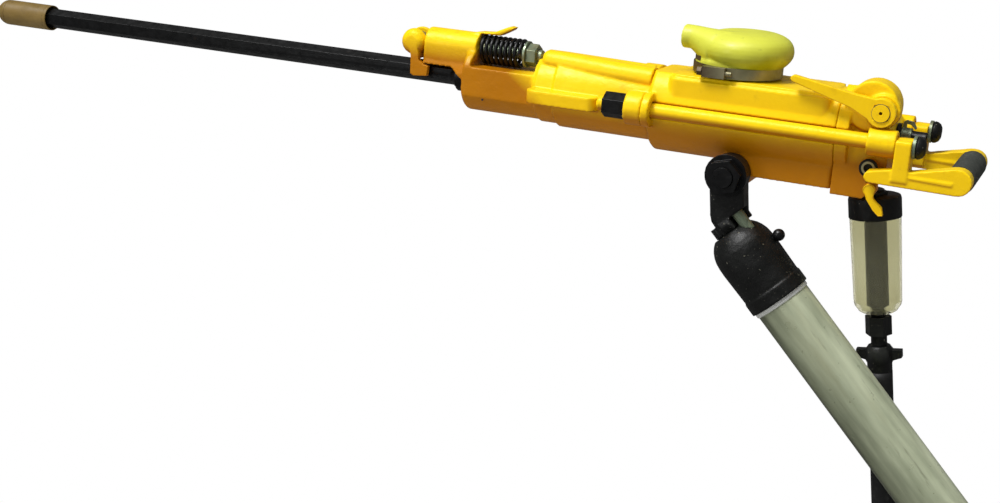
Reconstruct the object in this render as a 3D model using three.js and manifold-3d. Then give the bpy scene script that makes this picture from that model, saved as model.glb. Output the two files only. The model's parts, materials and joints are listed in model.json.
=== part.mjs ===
// Pneumatic rock drill on a telescopic air leg, with its drill rod, line oiler and air hose
//
// Millimetres and degrees, +Z up. The nose points to -X and the side with the throttle lever is -Y.
// The origin is the middle of the hand grip. The drill is built level in its own frame, whose X runs
// rearward along the drilling axis from the front of the rod's collar, and is then tilted nose up.

import * as THREE from "three";
import { mergeVertices } from "three/addons/utils/BufferGeometryUtils.js";
import Module from "manifold-3d";

const wasm = await Module();
wasm.setup();

// Gaps and small sizes that many pieces share

const seatGap = 0.3; // between two pieces that touch
const runningGap = 0.6; // round what turns or slides
const overrun = 2; // how far a cut runs past what it cuts, and how far joined solids sink together
const castEdge = 5; // of the castings' steps, rims and small walls

// Flat sides that stand for a circle, by its radius
const roundness = [
  { over: 40, sides: 30 },
  { over: 22, sides: 24 },
  { over: 10, sides: 18 },
  { over: 0, sides: 12 },
];
const weldReach = 1e-4; // corners closer than this are one corner

// How the drill and its leg are held

const noseUpAngle = 9.3; // of the drilling axis over level
const legAngle = 45.9; // of the leg below the drilling axis

// Driving sizes of the drilling line

const rod = { flats: 25, length: 846, water: 7, collarRadius: 21, collarLength: 14, collarTaper: 10 };
const bit = { length: 61, radius: 16.8, socketDepth: 26, socketRadius: 9 };
const cap = { length: 104, radius: 18.5, wall: 1.3, tipRadius: 7, domeLength: 20.6 };
const shankLength = 107;

const nose = {
  start: 18,
  frontLength: 124,
  frontRadius: 42.4,
  ringLength: 26,
  ringRadius: 44.5,
  rearLength: 127,
  rearRadius: 47.7,
  sideHalf: 38,
  mouthLength: 22,
  skirtBottom: 12.5,
  webBottom: -8,
  bushWall: 2.5,
  driverRadius: 33,
  driverStart: 117.5,
  driverLength: 88,
  flatHeight: 18.6,
  flatLength: 92,
  topFlat: 38,
  airTubeRadius: 13,
};
const cylinder = { length: 232, radius: 58, chestRadius: 46, chestLength: 54.7, wall: 9 };
const valveBox = { start: 24, length: 198, inset: 6, height: 47, corner: 30, bevel: 6 };
const footBlock = { start: 98, halfWidth: 42, depth: 67, hubRadius: 23 };
const piston = {
  radius: 39.8,
  headLength: 50,
  stemRadius: 19,
  noseRadius: 11.8,
  stroke: 60,
  bore: 14,
  needleBore: 4,
};
const rifleBar = { radius: 11.5, reach: 24.6, headRadius: 30, headLength: 18, flutes: 4, fluteDepth: 2 };
const backHead = { length: 61.7, inset: 13, depth: 72, height: 30, cavityRadius: 44, cavityLength: 28 };
const throttle = {
  radius: 30,
  setback: 37.5,
  rise: 38,
  farSide: 13.5,
  hubSetback: 51,
  hubRise: 34.6,
  hubRadius: 20,
  spoolRadius: 14,
};
const lever = { hubRadius: 17, thickness: 12, reach: 104, rise: 27, tipRadius: 4 };
const regulator = { setback: 43, drop: 33, radius: 11, hole: 4.5, thickness: 3.6 };

// Driving sizes of the rod retainer

const retainer = {
  axisHeight: 38.5,
  bossRadius: 20.5,
  bossFront: -47,
  bossLength: 75,
  knuckleX: -65,
  knuckleRadius: 17.4,
  forkHalfWidth: 22.5,
  boltRadius: 8,
  eyeRadius: 12,
  eyeWidth: 17,
  pinRadius: 5,
};
const spring = { length: 64, radius: 16.6, wire: 5.3, curls: 8.5 };
const retainerNut = { flats: 26, length: 13, washerRadius: 17.5, washerLength: 3, tail: 6 };

// The fork's side outline below its round head, rearward and up from the knuckle, in its radii
const prongOutlineShares = [
  [-0.34, 0],
  [0, -1.01],
  [0.03, -2.39],
  [0.3, -2.54],
  [1.44, -2.44],
  [1.52, -1.66],
  [1.18, -1.59],
  [0.69, -1.3],
  [0.67, -0.85],
  [0.34, 0],
];

// Driving sizes of the side bolts and the handle

const sideBolt = {
  standOff: 2,
  radius: 9,
  frontReach: 61,
  lugRadius: 21,
  lugLength: 22,
  rearLugRadius: 16.4,
};
const sideNut = { flats: 28, length: 29, domeRadius: 13.5, domeLength: 10, washerLength: 4 };
const handle = {
  frontReach: 31,
  gripReach: 74,
  drop: 31,
  sideGap: 10,
  barWidth: 20,
  barHeight: 18,
  tipRadius: 7,
  tipDrop: 1,
  bossRadius: 15.4,
};
const ear = { setback: 11, length: 18, top: 8 };
const grip = { radius: 16.5, tubeRadius: 11, tubeWall: 2.5 };
const trigger = {
  setback: 48,
  drop: 57,
  out: 13,
  hubRadius: 8,
  pinRadius: 4,
  width: 9,
  length: 30,
  sweep: 14,
};

// Driving sizes of the exhaust

const exhaust = { setback: 95, spigotRadius: 49, spigotWall: 4, spigotHeight: 17, portRadius: 28 };
const muffler = {
  wall: 3.5,
  bulgeReach: 16,
  height: 41,
  skirt: 14,
  outletReach: 67,
  outletSide: 14,
  outletRise: 42,
  outletRadius: 14.5,
};
const clamp = {
  width: 13,
  thickness: 1.6,
  housingLength: 28,
  housingDepth: 11,
  screwRadius: 3,
  screwHead: 10,
  screwLength: 42,
};

// Driving sizes of the water inlet

const waterInlet = {
  radius: 12,
  length: 34,
  bore: 5,
  collarRadius: 14,
  collarLength: 12,
  wingReach: 20,
  wingThickness: 4,
};
const needle = { radius: 2.5, front: 84 };

// Driving sizes of the air leg

const leg = {
  pivotSetback: 112,
  axisOut: 6,
  axisOffset: -44,
  closedLength: 1668,
  headStart: 58,
  headTopRadius: 34,
  headRadius: 39.5,
  skirtRadius: 39.5,
  headEnd: 158,
  tubeRadius: 35,
  tubeWall: 3.5,
  tubeStart: 100,
  tubeShort: 168,
  innerRadius: 20,
  innerWall: 3,
  pistonLength: 30,
  pistonStart: 130,
  collarRadius: 40,
  collarOverlap: 24,
  collarLength: 55,
};
const yoke = {
  eyeRadius: 24,
  thickness: 25.6,
  flangeRadius: 33,
  flangeLength: 14,
  armRadius: 21,
  armEnd: 40,
  armOffset: -30,
};
const axle = {
  radius: 12.5,
  flangeRadius: 20,
  flangeLength: 6,
  nutFlats: 38,
  nutLength: 18,
  washerRadius: 26,
};
const foot = { socketRadius: 27, socketDepth: 26, tipRadius: 6, length: 96, clawLength: 20, clawWidth: 10 };
const stud = { radius: 7.5, out: 10, rise: 24, start: 30, end: 78 };
const knob = { radius: 6, height: 14, station: 95, depth: 8 };

// Driving sizes of the oiler and the hose

const oiler = {
  setback: 40.5,
  side: 28,
  fittingRadius: 12,
  drop: 8,
  capRadius: 32,
  capLength: 28,
  bottleRadius: 31,
  bottleFootRadius: 28.5,
  bottleLength: 119,
  bottleWall: 2.5,
  coreRadius: 9,
  coreBore: 5,
};
const coupling = {
  nutRadius: 15,
  nutLength: 24,
  neckRadius: 10,
  neckLength: 14,
  wingRadius: 17,
  wingLength: 33,
  wingReach: 28,
};
const hose = { diameter: 31, sides: 10, steps: 26 };
const coil = { radius: 162.3, turns: 3.5, pitch: 32.6, descent: 140, steps: 24, sides: 6 };
const endCoupling = {
  radius: 19,
  tailRadius: 22,
  length: 62,
  bore: 9.5,
  boreDepth: 30,
  clawReach: 27,
  clawLength: 12,
};

// The hose's route from the mouth of its coupling, chosen point by point: straight down to the floor,
// round a quarter bend and on along the floor towards the coil
const hoseRoute = [
  [0, 0, -0.3],
  [0, 0, -31],
  [0, 0, -150],
  [0, 0, -300],
  [0, 0, -450],
  [0, 0, -600],
  [0, 0, -750],
  [0, 0, -860],
  [0, 0, -930],
  [0, 0, -969],
  [0, 5, -1008],
  [0, 20, -1044],
  [0, 44, -1075],
  [0, 75, -1098.4],
  [0, 111, -1113.4],
  [0, 150, -1118.4],
  [0, 166, -1118.4],
  [0, 181, -1118.4],
];

// Materials

function material(color, roughness, metalness) {
  return new THREE.MeshStandardMaterial({ color, roughness, metalness });
}

const yellowPaint = material(0xf2b90a, 0.4, 0.1);
const blackSteel = material(0x17181a, 0.5, 0.7);
const castBlack = material(0x1f2220, 0.7, 0.4);
const brightSteel = material(0x9aa19c, 0.35, 0.9);
const zincPlate = material(0x7d9489, 0.4, 0.8);
const mustardPlastic = material(0xb89a4a, 0.5, 0);
const limeRubber = material(0xc3c81c, 0.5, 0);
const darkRubber = material(0x2e3a36, 0.8, 0);
const hoseRubber = material(0x121314, 0.75, 0);
const tubeAlloy = material(0x8f9182, 0.45, 0.8);
const oilPlastic = material(0x8c8a4e, 0.25, 0);
const bronze = material(0x9c7a3c, 0.4, 0.8);

// Solids

function solidOf(geometry) {
  const bare = geometry.clone();
  bare.deleteAttribute("normal");
  bare.deleteAttribute("uv");
  const merged = mergeVertices(bare, weldReach);
  const corners = merged.index.array;
  const faces = [];
  for (let i = 0; i < corners.length; i += 3) {
    const [a, b, c] = [corners[i], corners[i + 1], corners[i + 2]];
    if (a !== b && b !== c && c !== a) faces.push([a, b, c]);
  }
  const build = (triangles) =>
    new wasm.Manifold(
      new wasm.Mesh({
        numProp: 3,
        vertProperties: new Float32Array(merged.attributes.position.array),
        triVerts: new Uint32Array(triangles.flat()),
      }),
    );
  const made = build(faces);
  return made.volume() < 0 ? build(faces.map(([a, b, c]) => [a, c, b])) : made;
}

function geometryOf(solid) {
  const mesh = solid.getMesh();
  const geometry = new THREE.BufferGeometry();
  const places = new Float32Array(mesh.numVert * 3);
  for (let i = 0; i < mesh.numVert; i++) {
    places.set(mesh.vertProperties.subarray(i * mesh.numProp, i * mesh.numProp + 3), i * 3);
  }
  geometry.setAttribute("position", new THREE.BufferAttribute(places, 3));
  geometry.setIndex(new THREE.BufferAttribute(mesh.triVerts, 1));
  geometry.computeVertexNormals();
  return geometry;
}

const join = (first, ...others) => others.reduce((whole, other) => whole.add(other), first);
const cut = (body, ...tools) => tools.reduce((rest, tool) => rest.subtract(tool), body);

// Outlines, as lists of points

function arc(x, y, radius, from, to, steps) {
  return Array.from({ length: steps + 1 }, (_, i) => {
    const angle = THREE.MathUtils.degToRad(from + ((to - from) * i) / steps);
    return [x + radius * Math.cos(angle), y + radius * Math.sin(angle)];
  });
}

// How many flat sides stand for a circle of this radius
const sidesFor = (radius) => roundness.find(({ over }) => radius > over).sides;

const circle = (x, y, radius) => arc(x, y, radius, 0, 360, sidesFor(radius)).slice(1);

const hexagon = (x, y, flats, turn = 0) =>
  arc(x, y, flats / Math.sqrt(3), turn, turn + 360, 6).slice(1);

const rectangle = (x0, x1, y0, y1) => [
  [x0, y0],
  [x1, y0],
  [x1, y1],
  [x0, y1],
];

const roundedRectangle = (x0, x1, y0, y1, radius, steps = 4) => [
  ...arc(x1 - radius, y1 - radius, radius, 0, 90, steps),
  ...arc(x0 + radius, y1 - radius, radius, 90, 180, steps),
  ...arc(x0 + radius, y0 + radius, radius, 180, 270, steps),
  ...arc(x1 - radius, y0 + radius, radius, 270, 360, steps),
];

// The belt round two circles
function belt(ax, ay, ar, bx, by, br, steps = 8) {
  const along = THREE.MathUtils.radToDeg(Math.atan2(by - ay, bx - ax));
  const lean = THREE.MathUtils.radToDeg(Math.acos((ar - br) / Math.hypot(bx - ax, by - ay)));
  return [
    ...arc(ax, ay, ar, along + lean, along + 360 - lean, steps),
    ...arc(bx, by, br, along - lean, along + lean, steps),
  ];
}

// What is drawn along Z is laid along another axis: an outline's two numbers are then Y and Z along X,
// X and Z along Y, and X and Y along Z
const layings = {
  x: new THREE.Matrix4().makeBasis(
    new THREE.Vector3(0, 1, 0),
    new THREE.Vector3(0, 0, 1),
    new THREE.Vector3(1, 0, 0),
  ),
  y: new THREE.Matrix4().makeBasis(
    new THREE.Vector3(1, 0, 0),
    new THREE.Vector3(0, 0, 1),
    new THREE.Vector3(0, 1, 0),
  ),
  z: new THREE.Matrix4(),
};

function slab(axis, outline, from, to, holes = []) {
  const shape = new THREE.Shape(outline.map(([x, y]) => new THREE.Vector2(x, y)));
  shape.holes = holes.map((hole) => new THREE.Path(hole.map(([x, y]) => new THREE.Vector2(x, y))));
  const geometry = new THREE.ExtrudeGeometry(shape, { depth: to - from, bevelEnabled: false });
  return solidOf(geometry.translate(0, 0, from).applyMatrix4(layings[axis]));
}

// A slab whose top edge is bevelled all round
function bevelledSlab(outline, from, to, bevel) {
  const shape = new THREE.Shape(outline.map(([x, y]) => new THREE.Vector2(x, y)));
  const settings = {
    depth: to - from - 2 * bevel,
    bevelThickness: bevel,
    bevelSize: bevel,
    bevelOffset: -bevel,
    bevelSegments: 2,
  };
  return solidOf(new THREE.ExtrudeGeometry(shape, settings).translate(0, 0, from + bevel));
}

// A turned solid: the profile is a list of [station along the axis, radius], and the middle is where
// the axis crosses the plane square to it, in the two numbers that an outline would have
function turned(axis, profile, middle = [0, 0]) {
  const points = profile.map(([station, radius]) => new THREE.Vector2(radius, station));
  const widest = Math.max(...profile.map(([, radius]) => radius));
  const geometry = new THREE.LatheGeometry(points, sidesFor(widest));
  geometry.rotateX(Math.PI / 2);
  return solidOf(geometry.translate(middle[0], middle[1], 0).applyMatrix4(layings[axis]));
}

const bar = (axis, radius, from, to, middle) =>
  turned(axis, [[from, 0], [from, radius], [to, radius], [to, 0]], middle);

const pipe = (axis, outer, inner, from, to, middle) =>
  turned(axis, [[from, inner], [from, outer], [to, outer], [to, inner], [from, inner]], middle);

const block = (x0, x1, y0, y1, z0, z1) => slab("z", rectangle(x0, x1, y0, y1), z0, z1);

// A tube wound along a closed-form path: every ring of its skin stands square to the path
function woundTube(path, radius, sides) {
  const places = [];
  const triangles = [];
  const up = new THREE.Vector3();
  path.forEach((point, i) => {
    const before = path[Math.max(i - 1, 0)];
    const after = path[Math.min(i + 1, path.length - 1)];
    const ahead = after.place.clone().sub(before.place).normalize();
    up.copy(point.up).addScaledVector(ahead, -point.up.dot(ahead)).normalize();
    const side = ahead.clone().cross(up);
    for (let k = 0; k < sides; k++) {
      const angle = (2 * Math.PI * (k + 0.5)) / sides;
      const corner = point.place
        .clone()
        .addScaledVector(up, (point.radius ?? radius) * Math.sin(angle))
        .addScaledVector(side, (point.radius ?? radius) * Math.cos(angle));
      places.push(...corner.toArray());
    }
  });
  for (let i = 0; i + 1 < path.length; i++) {
    for (let k = 0; k < sides; k++) {
      const next = (k + 1) % sides;
      const [a, b] = [i * sides + k, i * sides + next];
      triangles.push(a, b, b + sides, a, b + sides, a + sides);
    }
  }
  const last = (path.length - 1) * sides;
  for (let k = 1; k + 1 < sides; k++) {
    triangles.push(0, k + 1, k, last, last + k, last + k + 1);
  }
  const geometry = new THREE.BufferGeometry();
  geometry.setAttribute("position", new THREE.Float32BufferAttribute(places, 3));
  geometry.setIndex(triangles);
  return solidOf(geometry);
}

// The least gap between stretches of a wound tube that lie at least half a turn apart
function leastSelfGap(path, radius, stepsPerTurn) {
  let least = Infinity;
  for (let i = 0; i < path.length; i++) {
    for (let k = i + Math.floor(stepsPerTurn / 2); k < path.length; k++) {
      least = Math.min(least, path[i].place.distanceTo(path[k].place) - 2 * radius);
    }
  }
  return least;
}

// Stations along the drilling axis that several pieces share

const ringStart = nose.frontLength;
const ringEnd = ringStart + nose.ringLength;
const noseEnd = ringEnd + nose.rearLength;
const cylinderStart = noseEnd + seatGap;
const cylinderEnd = cylinderStart + cylinder.length - seatGap;
const backStart = cylinderEnd + seatGap;
const backEnd = backStart + backHead.length;
const collarFront = 0;
const collarRear = collarFront + rod.collarLength;
const shankEnd = collarRear + shankLength;
const rodFront = shankEnd - rod.length;
const bushRadius = rod.flats / Math.sqrt(3) + nose.bushWall;
const pistonFront = shankEnd + seatGap;
const boreStart = cylinderStart + cylinder.wall;
const boreEnd = cylinderEnd - cylinder.chestLength;
const headStart = boreStart + seatGap;
const headEnd = headStart + piston.headLength;
const chestEnd = cylinderEnd - castEdge * 2;
const barFront = headEnd - rifleBar.reach;
const boltOffset = cylinder.radius + sideBolt.standOff;
const boxHalf = cylinder.radius - valveBox.inset;
const backHalf = cylinder.radius - backHead.inset;
const handSpan = backHalf + handle.sideGap;
const boltFront = noseEnd - sideBolt.frontReach;
const lugFront = noseEnd - sideBolt.lugLength;
const earStart = backEnd + ear.setback;
const earEnd = earStart + ear.length;

// Middles of what turns or stands across the drill, as [station, height]

const throttleMiddle = [cylinderEnd + throttle.setback, throttle.rise];
const hubMiddle = [cylinderEnd + throttle.hubSetback, throttle.hubRise];
const regulatorMiddle = [cylinderEnd + regulator.setback, -regulator.drop];
const triggerMiddle = [cylinderEnd + trigger.setback, -trigger.drop];
const triggerY = -backHalf - trigger.out;
const gripMiddle = [earStart + handle.gripReach, -handle.drop];
const exhaustMiddle = [noseEnd + exhaust.setback, 0];

// The yoke's eye just clears the barrel above it
const yokeFar = -footBlock.halfWidth - seatGap;
const barrelBelow = Math.sqrt(cylinder.radius ** 2 - yokeFar ** 2);
const pivotMiddle = [noseEnd + leg.pivotSetback, -barrelBelow - yoke.eyeRadius - seatGap];
const legMiddle = [-footBlock.halfWidth - leg.axisOut, leg.axisOffset];
const studMiddle = [legMiddle[0] - stud.out, legMiddle[1] + stud.rise];

// Frames: the row's own, the tilted drill's, the leg's and the plumb frame of the hanging oiler

const rockDrill = new THREE.Group();
const tilt = new THREE.Group();
const drillFrame = new THREE.Group();
const legFrame = new THREE.Group();
const oilerFrame = new THREE.Group();

tilt.rotation.y = THREE.MathUtils.degToRad(noseUpAngle);
drillFrame.position.set(-gripMiddle[0], 0, -gripMiddle[1]);
legFrame.position.set(pivotMiddle[0], 0, pivotMiddle[1]);
legFrame.rotation.y = THREE.MathUtils.degToRad(legAngle);
oilerFrame.position.set(cylinderEnd + oiler.setback, oiler.side, -backHead.depth);
oilerFrame.rotation.y = THREE.MathUtils.degToRad(-noseUpAngle);

rockDrill.add(tilt);
tilt.add(drillFrame);
drillFrame.add(legFrame, oilerFrame);

function piece(frame, name, solid, finish) {
  const mesh = new THREE.Mesh(geometryOf(solid), finish);
  mesh.name = name;
  frame.add(mesh);
}

// Drill rod: hexagonal steel with a forged collar and a water hole

function drillRod() {
  const core = bar("x", rod.collarRadius, collarFront, collarRear);
  const cone = turned(
    "x",
    [
      [collarFront - rod.collarTaper, 0],
      [collarFront - rod.collarTaper, rod.flats / 2],
      [collarFront + overrun, rod.collarRadius],
      [collarFront + overrun, 0],
    ],
  );
  const hexFront = rodFront + bit.socketDepth + seatGap;
  const hex = slab("x", hexagon(0, 0, rod.flats, 90), hexFront, shankEnd);
  const tail = bar("x", bit.socketRadius - seatGap, rodFront, hexFront + overrun);
  const water = bar("x", rod.water / 2, rodFront - overrun, shankEnd + overrun);
  return cut(join(hex, core, cone, tail), water);
}

// Drill bit: a short head with four water flutes, seated on the rod's tapered end

const bitRear = rodFront + bit.socketDepth;
const bitFront = bitRear - bit.length;

function drillBit() {
  const edge = bit.radius / 8;
  const body = turned(
    "x",
    [
      [bitFront, 0],
      [bitFront, bit.radius - edge],
      [bitFront + edge, bit.radius],
      [bitFront + bit.length / 2, bit.radius],
      [bitRear, bit.radius - edge],
      [bitRear, 0],
    ],
  );
  const socket = bar("x", bit.socketRadius, rodFront - seatGap, bitRear + overrun);
  const water = bar("x", rod.water / 4, bitFront - overrun, bitRear);
  const flutes = [0, 90, 180, 270].map((turn) => {
    const [y, z] = arc(0, 0, bit.radius + edge, turn, turn, 1)[0];
    return bar("x", 2 * edge, bitFront - overrun, bitFront + bit.length / 2, [y, z]);
  });
  return cut(body, socket, water, ...flutes);
}

// Bit cap: a thin domed sleeve that pulls off forward

const capFront = bitFront - cap.domeLength;
const capRear = capFront + cap.length;

function bitCap() {
  const shoulder = bitFront - runningGap;
  const skin = (inset, rear) => [
    [capFront + inset, 0],
    [capFront + inset, cap.tipRadius],
    [capFront + cap.domeLength / 3, cap.radius * 0.8 - inset],
    [shoulder, cap.radius - inset],
    [rear, cap.radius - inset],
    [rear, 0],
  ];
  return cut(turned("x", skin(0, capRear)), turned("x", skin(cap.wall, capRear + overrun)));
}

// Nose housing: turned steps, the retainer's boss, the bolt lugs, guard ribs and the air tube on top

const springStart = retainer.bossFront + retainer.bossLength;
const flatEnd = springStart + nose.flatLength;

function noseHousing() {
  const shell = turned(
    "x",
    [
      [nose.start, 0],
      [nose.start, nose.frontRadius - castEdge / 2],
      [nose.start + castEdge / 2, nose.frontRadius],
      [ringStart, nose.frontRadius],
      [ringStart, nose.ringRadius],
      [ringEnd, nose.ringRadius],
      [ringEnd, nose.rearRadius],
      [noseEnd, nose.rearRadius],
      [noseEnd, 0],
    ],
  );
  const wide = 2 * nose.rearRadius;
  const springFlat = block(springStart, flatEnd, -wide, wide, nose.flatHeight, wide);
  const topFlat = block(flatEnd - overrun, lugFront, -wide, wide, nose.topFlat, wide);
  const boss = bar("x", retainer.bossRadius, retainer.bossFront, springStart, [0, retainer.axisHeight]);
  const sideFlats = [-1, 1].map((side) =>
    block(
      nose.start - overrun,
      ringStart - castEdge,
      side > 0 ? nose.sideHalf : -wide,
      side > 0 ? wide : -nose.sideHalf,
      -wide,
      wide,
    ),
  );
  const mouthRadius = rod.collarRadius + 2 * runningGap;
  const mouth = bar("x", mouthRadius, -wide, nose.mouthLength);
  const bossBore = bar(
    "x",
    retainer.boltRadius + runningGap,
    retainer.bossFront - overrun,
    springStart + overrun,
    [0, retainer.axisHeight],
  );
  const bushBore = bar("x", bushRadius + runningGap, -overrun, noseEnd);
  const driverBore = bar("x", nose.driverRadius + runningGap, nose.driverStart, noseEnd + overrun);
  const nutPockets = [-1, 1].map((side) =>
    bar(
      "x",
      sideNut.flats / Math.sqrt(3) + 2 * runningGap,
      boltFront - overrun,
      lugFront,
      [side * boltOffset, 0],
    ),
  );
  const body = cut(shell, springFlat, topFlat, ...sideFlats);
  const solid = join(body, boss, web(mouthRadius + castEdge * 0.6), finger(), airTube(), ...lugs());
  return cut(solid, mouth, bossBore, bushBore, driverBore, ...nutPockets, ...boltHoles());
}

// The web that carries the boss: flush with it above, wider round the rod's collar below
function web(lowerHalf) {
  const upperHalf = retainer.bossRadius;
  const side = [
    [retainer.bossFront, nose.skirtBottom],
    [-castEdge, nose.skirtBottom],
    [nose.start / 2, 0],
    [nose.start + overrun, nose.webBottom],
    [springStart, nose.webBottom],
    [springStart, retainer.axisHeight],
    [retainer.bossFront, retainer.axisHeight],
  ];
  const across = [
    [lowerHalf, nose.webBottom],
    [lowerHalf, nose.skirtBottom / 2],
    [upperHalf, nose.skirtBottom + castEdge],
    [upperHalf, retainer.axisHeight],
  ];
  const mirrored = across.map(([y, z]) => [-y, z]).reverse();
  const along = slab("x", [...across, ...mirrored], retainer.bossFront, springStart);
  return slab("y", side, -lowerHalf, lowerHalf).intersect(along);
}

// The bent finger that rises from the boss over the spring
function finger() {
  const thickness = castEdge;
  const top = retainer.axisHeight + retainer.bossRadius;
  const half = retainer.boltRadius;
  const reach = spring.length;
  return slab(
    "y",
    [
      [springStart - thickness * 2, top - thickness],
      [springStart, top - thickness],
      [springStart, top - thickness * 0.14],
      [springStart + reach * 0.44, top - thickness * 0.04],
      [springStart + reach * 0.69, top + thickness * 1.7],
      [springStart + reach * 0.73, top + thickness * 2.4],
      [springStart + reach * 0.63, top + thickness * 2.64],
      [springStart + reach * 0.28, top + thickness * 0.64],
      [springStart, top + thickness * 0.4],
      [springStart - thickness * 2, top],
    ],
    -half,
    half,
  );
}

function airTube() {
  const radius = nose.airTubeRadius;
  const middle = [-radius, nose.topFlat];
  const tubeFront = flatEnd + castEdge;
  const tubeRear = noseEnd - castEdge;
  return turned(
    "x",
    [
      [tubeFront, 0],
      [tubeFront, radius * 0.7],
      [tubeFront + radius * 0.3, radius],
      [ringEnd, radius],
      [tubeRear, radius * 0.8],
      [tubeRear, 0],
    ],
    middle,
  );
}

function lugs() {
  return [-1, 1].flatMap((side) => {
    const y = side * boltOffset;
    const inner = side * (nose.driverRadius + castEdge);
    const [low, high] = [Math.min(y, inner), Math.max(y, inner)];
    const half = sideBolt.lugRadius * 0.8;
    const outer = side * (boltOffset + castEdge);
    const rib = roundedRectangle(
      ringStart - castEdge,
      boltFront - 2 * overrun,
      Math.min(outer, inner),
      Math.max(outer, inner),
      castEdge * 2,
    );
    return [
      bar("x", sideBolt.lugRadius, lugFront, noseEnd, [y, 0]),
      block(lugFront, noseEnd, low, high, -half, half),
      slab("z", rib, -castEdge * 2.6, castEdge),
    ];
  });
}

const boltHoles = () =>
  [-1, 1].map((side) =>
    bar(
      "x",
      sideBolt.radius + runningGap,
      boltFront - overrun,
      backEnd + ear.length + overrun,
      [side * boltOffset, 0],
    ),
  );

// Chuck: a slim hexagonal bush in one with the wide sleeve whose straight splines turn it

const driverEnd = nose.driverStart + nose.driverLength;
const flangeEnd = nose.driverStart + castEdge;

// The spline section of the piston's stem, and of the bore round it with a gap
function splineOutline(gap) {
  const count = 6;
  const [root, tip] = [piston.stemRadius * 0.82 + gap, piston.stemRadius + gap];
  const half = 360 / count / 4;
  return Array.from({ length: count }, (_, i) => {
    const middle = (360 * i) / count;
    return [
      ...arc(0, 0, tip, middle - half, middle + half, 2),
      ...arc(0, 0, root, middle + half * 1.3, middle + half * 2.7, 2),
    ];
  }).flat();
}

function chuckSleeve() {
  const body = join(
    bar("x", bushRadius, collarRear + seatGap, flangeEnd),
    bar("x", nose.driverRadius, nose.driverStart + seatGap, driverEnd),
  );
  const hex = slab("x", hexagon(0, 0, rod.flats + runningGap, 90), collarFront, flangeEnd + overrun);
  return cut(body, hex, slab("x", splineOutline(runningGap), flangeEnd, driverEnd + overrun));
}

// Guide bush that seals the piston's stem between the nose and the cylinder
function guideBush() {
  const outer = nose.driverRadius;
  return pipe("x", outer, piston.stemRadius + runningGap, driverEnd + seatGap, noseEnd);
}

// Cylinder casting: bolt grooves, valve box on top with its exhaust port, foot block with the leg's hub

const boxStart = cylinderStart + valveBox.start;
const boxEnd = boxStart + valveBox.length;
const footStart = cylinderStart + footBlock.start;
const footEnd = cylinderEnd;

function cylinderCasting() {
  const barrel = turned(
    "x",
    [
      [cylinderStart, 0],
      [cylinderStart, cylinder.radius - castEdge],
      [cylinderStart + castEdge, cylinder.radius],
      [cylinderEnd, cylinder.radius],
      [cylinderEnd, 0],
    ],
  );
  const boxPlan = roundedRectangle(boxStart, boxEnd, -boxHalf, boxHalf, valveBox.corner, 5);
  const box = bevelledSlab(boxPlan, 0, valveBox.height, valveBox.bevel);
  const footHalf = footBlock.halfWidth;
  const footPlan = roundedRectangle(footStart, footEnd, -footHalf, footHalf, castEdge, 3);
  const foot = slab("z", footPlan, -footBlock.depth, 0);
  const hub = bar("y", footBlock.hubRadius, -footHalf, footHalf, pivotMiddle);
  const frontLugs = [-1, 1].map((side) =>
    bar("x", sideBolt.lugRadius, cylinderStart, cylinderStart + castEdge * 2, [side * boltOffset, 0]),
  );
  const grooves = [-1, 1].map((side) =>
    bar(
      "x",
      sideBolt.radius + 2 * runningGap,
      cylinderStart - overrun,
      cylinderEnd + overrun,
      [side * boltOffset, 0],
    ),
  );
  const pistonBore = bar("x", piston.radius + runningGap, boreStart, boreEnd + overrun);
  const stemHole = bar("x", piston.stemRadius + runningGap, cylinderStart - overrun, boreStart + overrun);
  const chestBore = bar("x", cylinder.chestRadius, boreEnd, cylinderEnd + overrun);
  const port = bar("z", exhaust.portRadius, 0, valveBox.height + overrun, exhaustMiddle);
  const axleHole = bar("y", axle.radius + seatGap, -cylinder.radius, cylinder.radius, pivotMiddle);
  const wide = 2 * cylinder.radius;
  const [front, rear] = [cylinderStart - overrun, cylinderEnd + overrun];
  const aboveBox = block(front, rear, -wide, wide, valveBox.height - overrun, wide);
  const casting = join(cut(barrel, aboveBox), box, foot, hub, ...frontLugs);
  const recesses = [panelRecess(-1), panelRecess(1)];
  return cut(casting, ...grooves, pistonBore, stemHole, chestBore, port, axleHole, ...recesses);
}

// The shallow panel near the rear end of each side of the valve box
function panelRecess(side) {
  const depth = overrun;
  const outer = boxHalf + depth;
  const inner = boxHalf - depth;
  const panel = roundedRectangle(
    boxEnd - valveBox.corner * 1.7,
    boxEnd - valveBox.corner * 0.4,
    valveBox.height * 0.32,
    valveBox.height * 0.78,
    castEdge,
    2,
  );
  return slab("y", panel, Math.min(side * inner, side * outer), Math.max(side * inner, side * outer));
}

// Piston: a head that fills the bore and a splined stem that hammers on the shank

const nutLength = piston.headLength * 0.6;
const nutRadius = piston.bore + castEdge * 1.6;

function pistonSolid() {
  const head = bar("x", piston.radius, headStart, headEnd);
  const neck = bar("x", piston.stemRadius, driverEnd, headStart + overrun);
  const stem = slab("x", splineOutline(0), flangeEnd + overrun, driverEnd + overrun);
  const striker = bar("x", piston.noseRadius, pistonFront, flangeEnd + 2 * overrun);
  const hollowStart = barFront - 2 * piston.stroke;
  const hollow = bar("x", piston.bore, hollowStart, headEnd + overrun);
  const nutSeat = bar("x", nutRadius, headEnd - nutLength, headEnd + overrun);
  const needleHole = bar("x", piston.needleBore, pistonFront - overrun, headEnd);
  return cut(join(head, neck, stem, striker), hollow, nutSeat, needleHole);
}

// Rifle nut, held in the back of the piston
const rifleNut = () =>
  pipe(
    "x",
    nutRadius - seatGap,
    rifleBar.radius + runningGap,
    headEnd - nutLength + seatGap,
    headEnd,
  );

// Rifle bar: a twisted, fluted bar with the pawl head that runs in the ratchet ring

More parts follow.
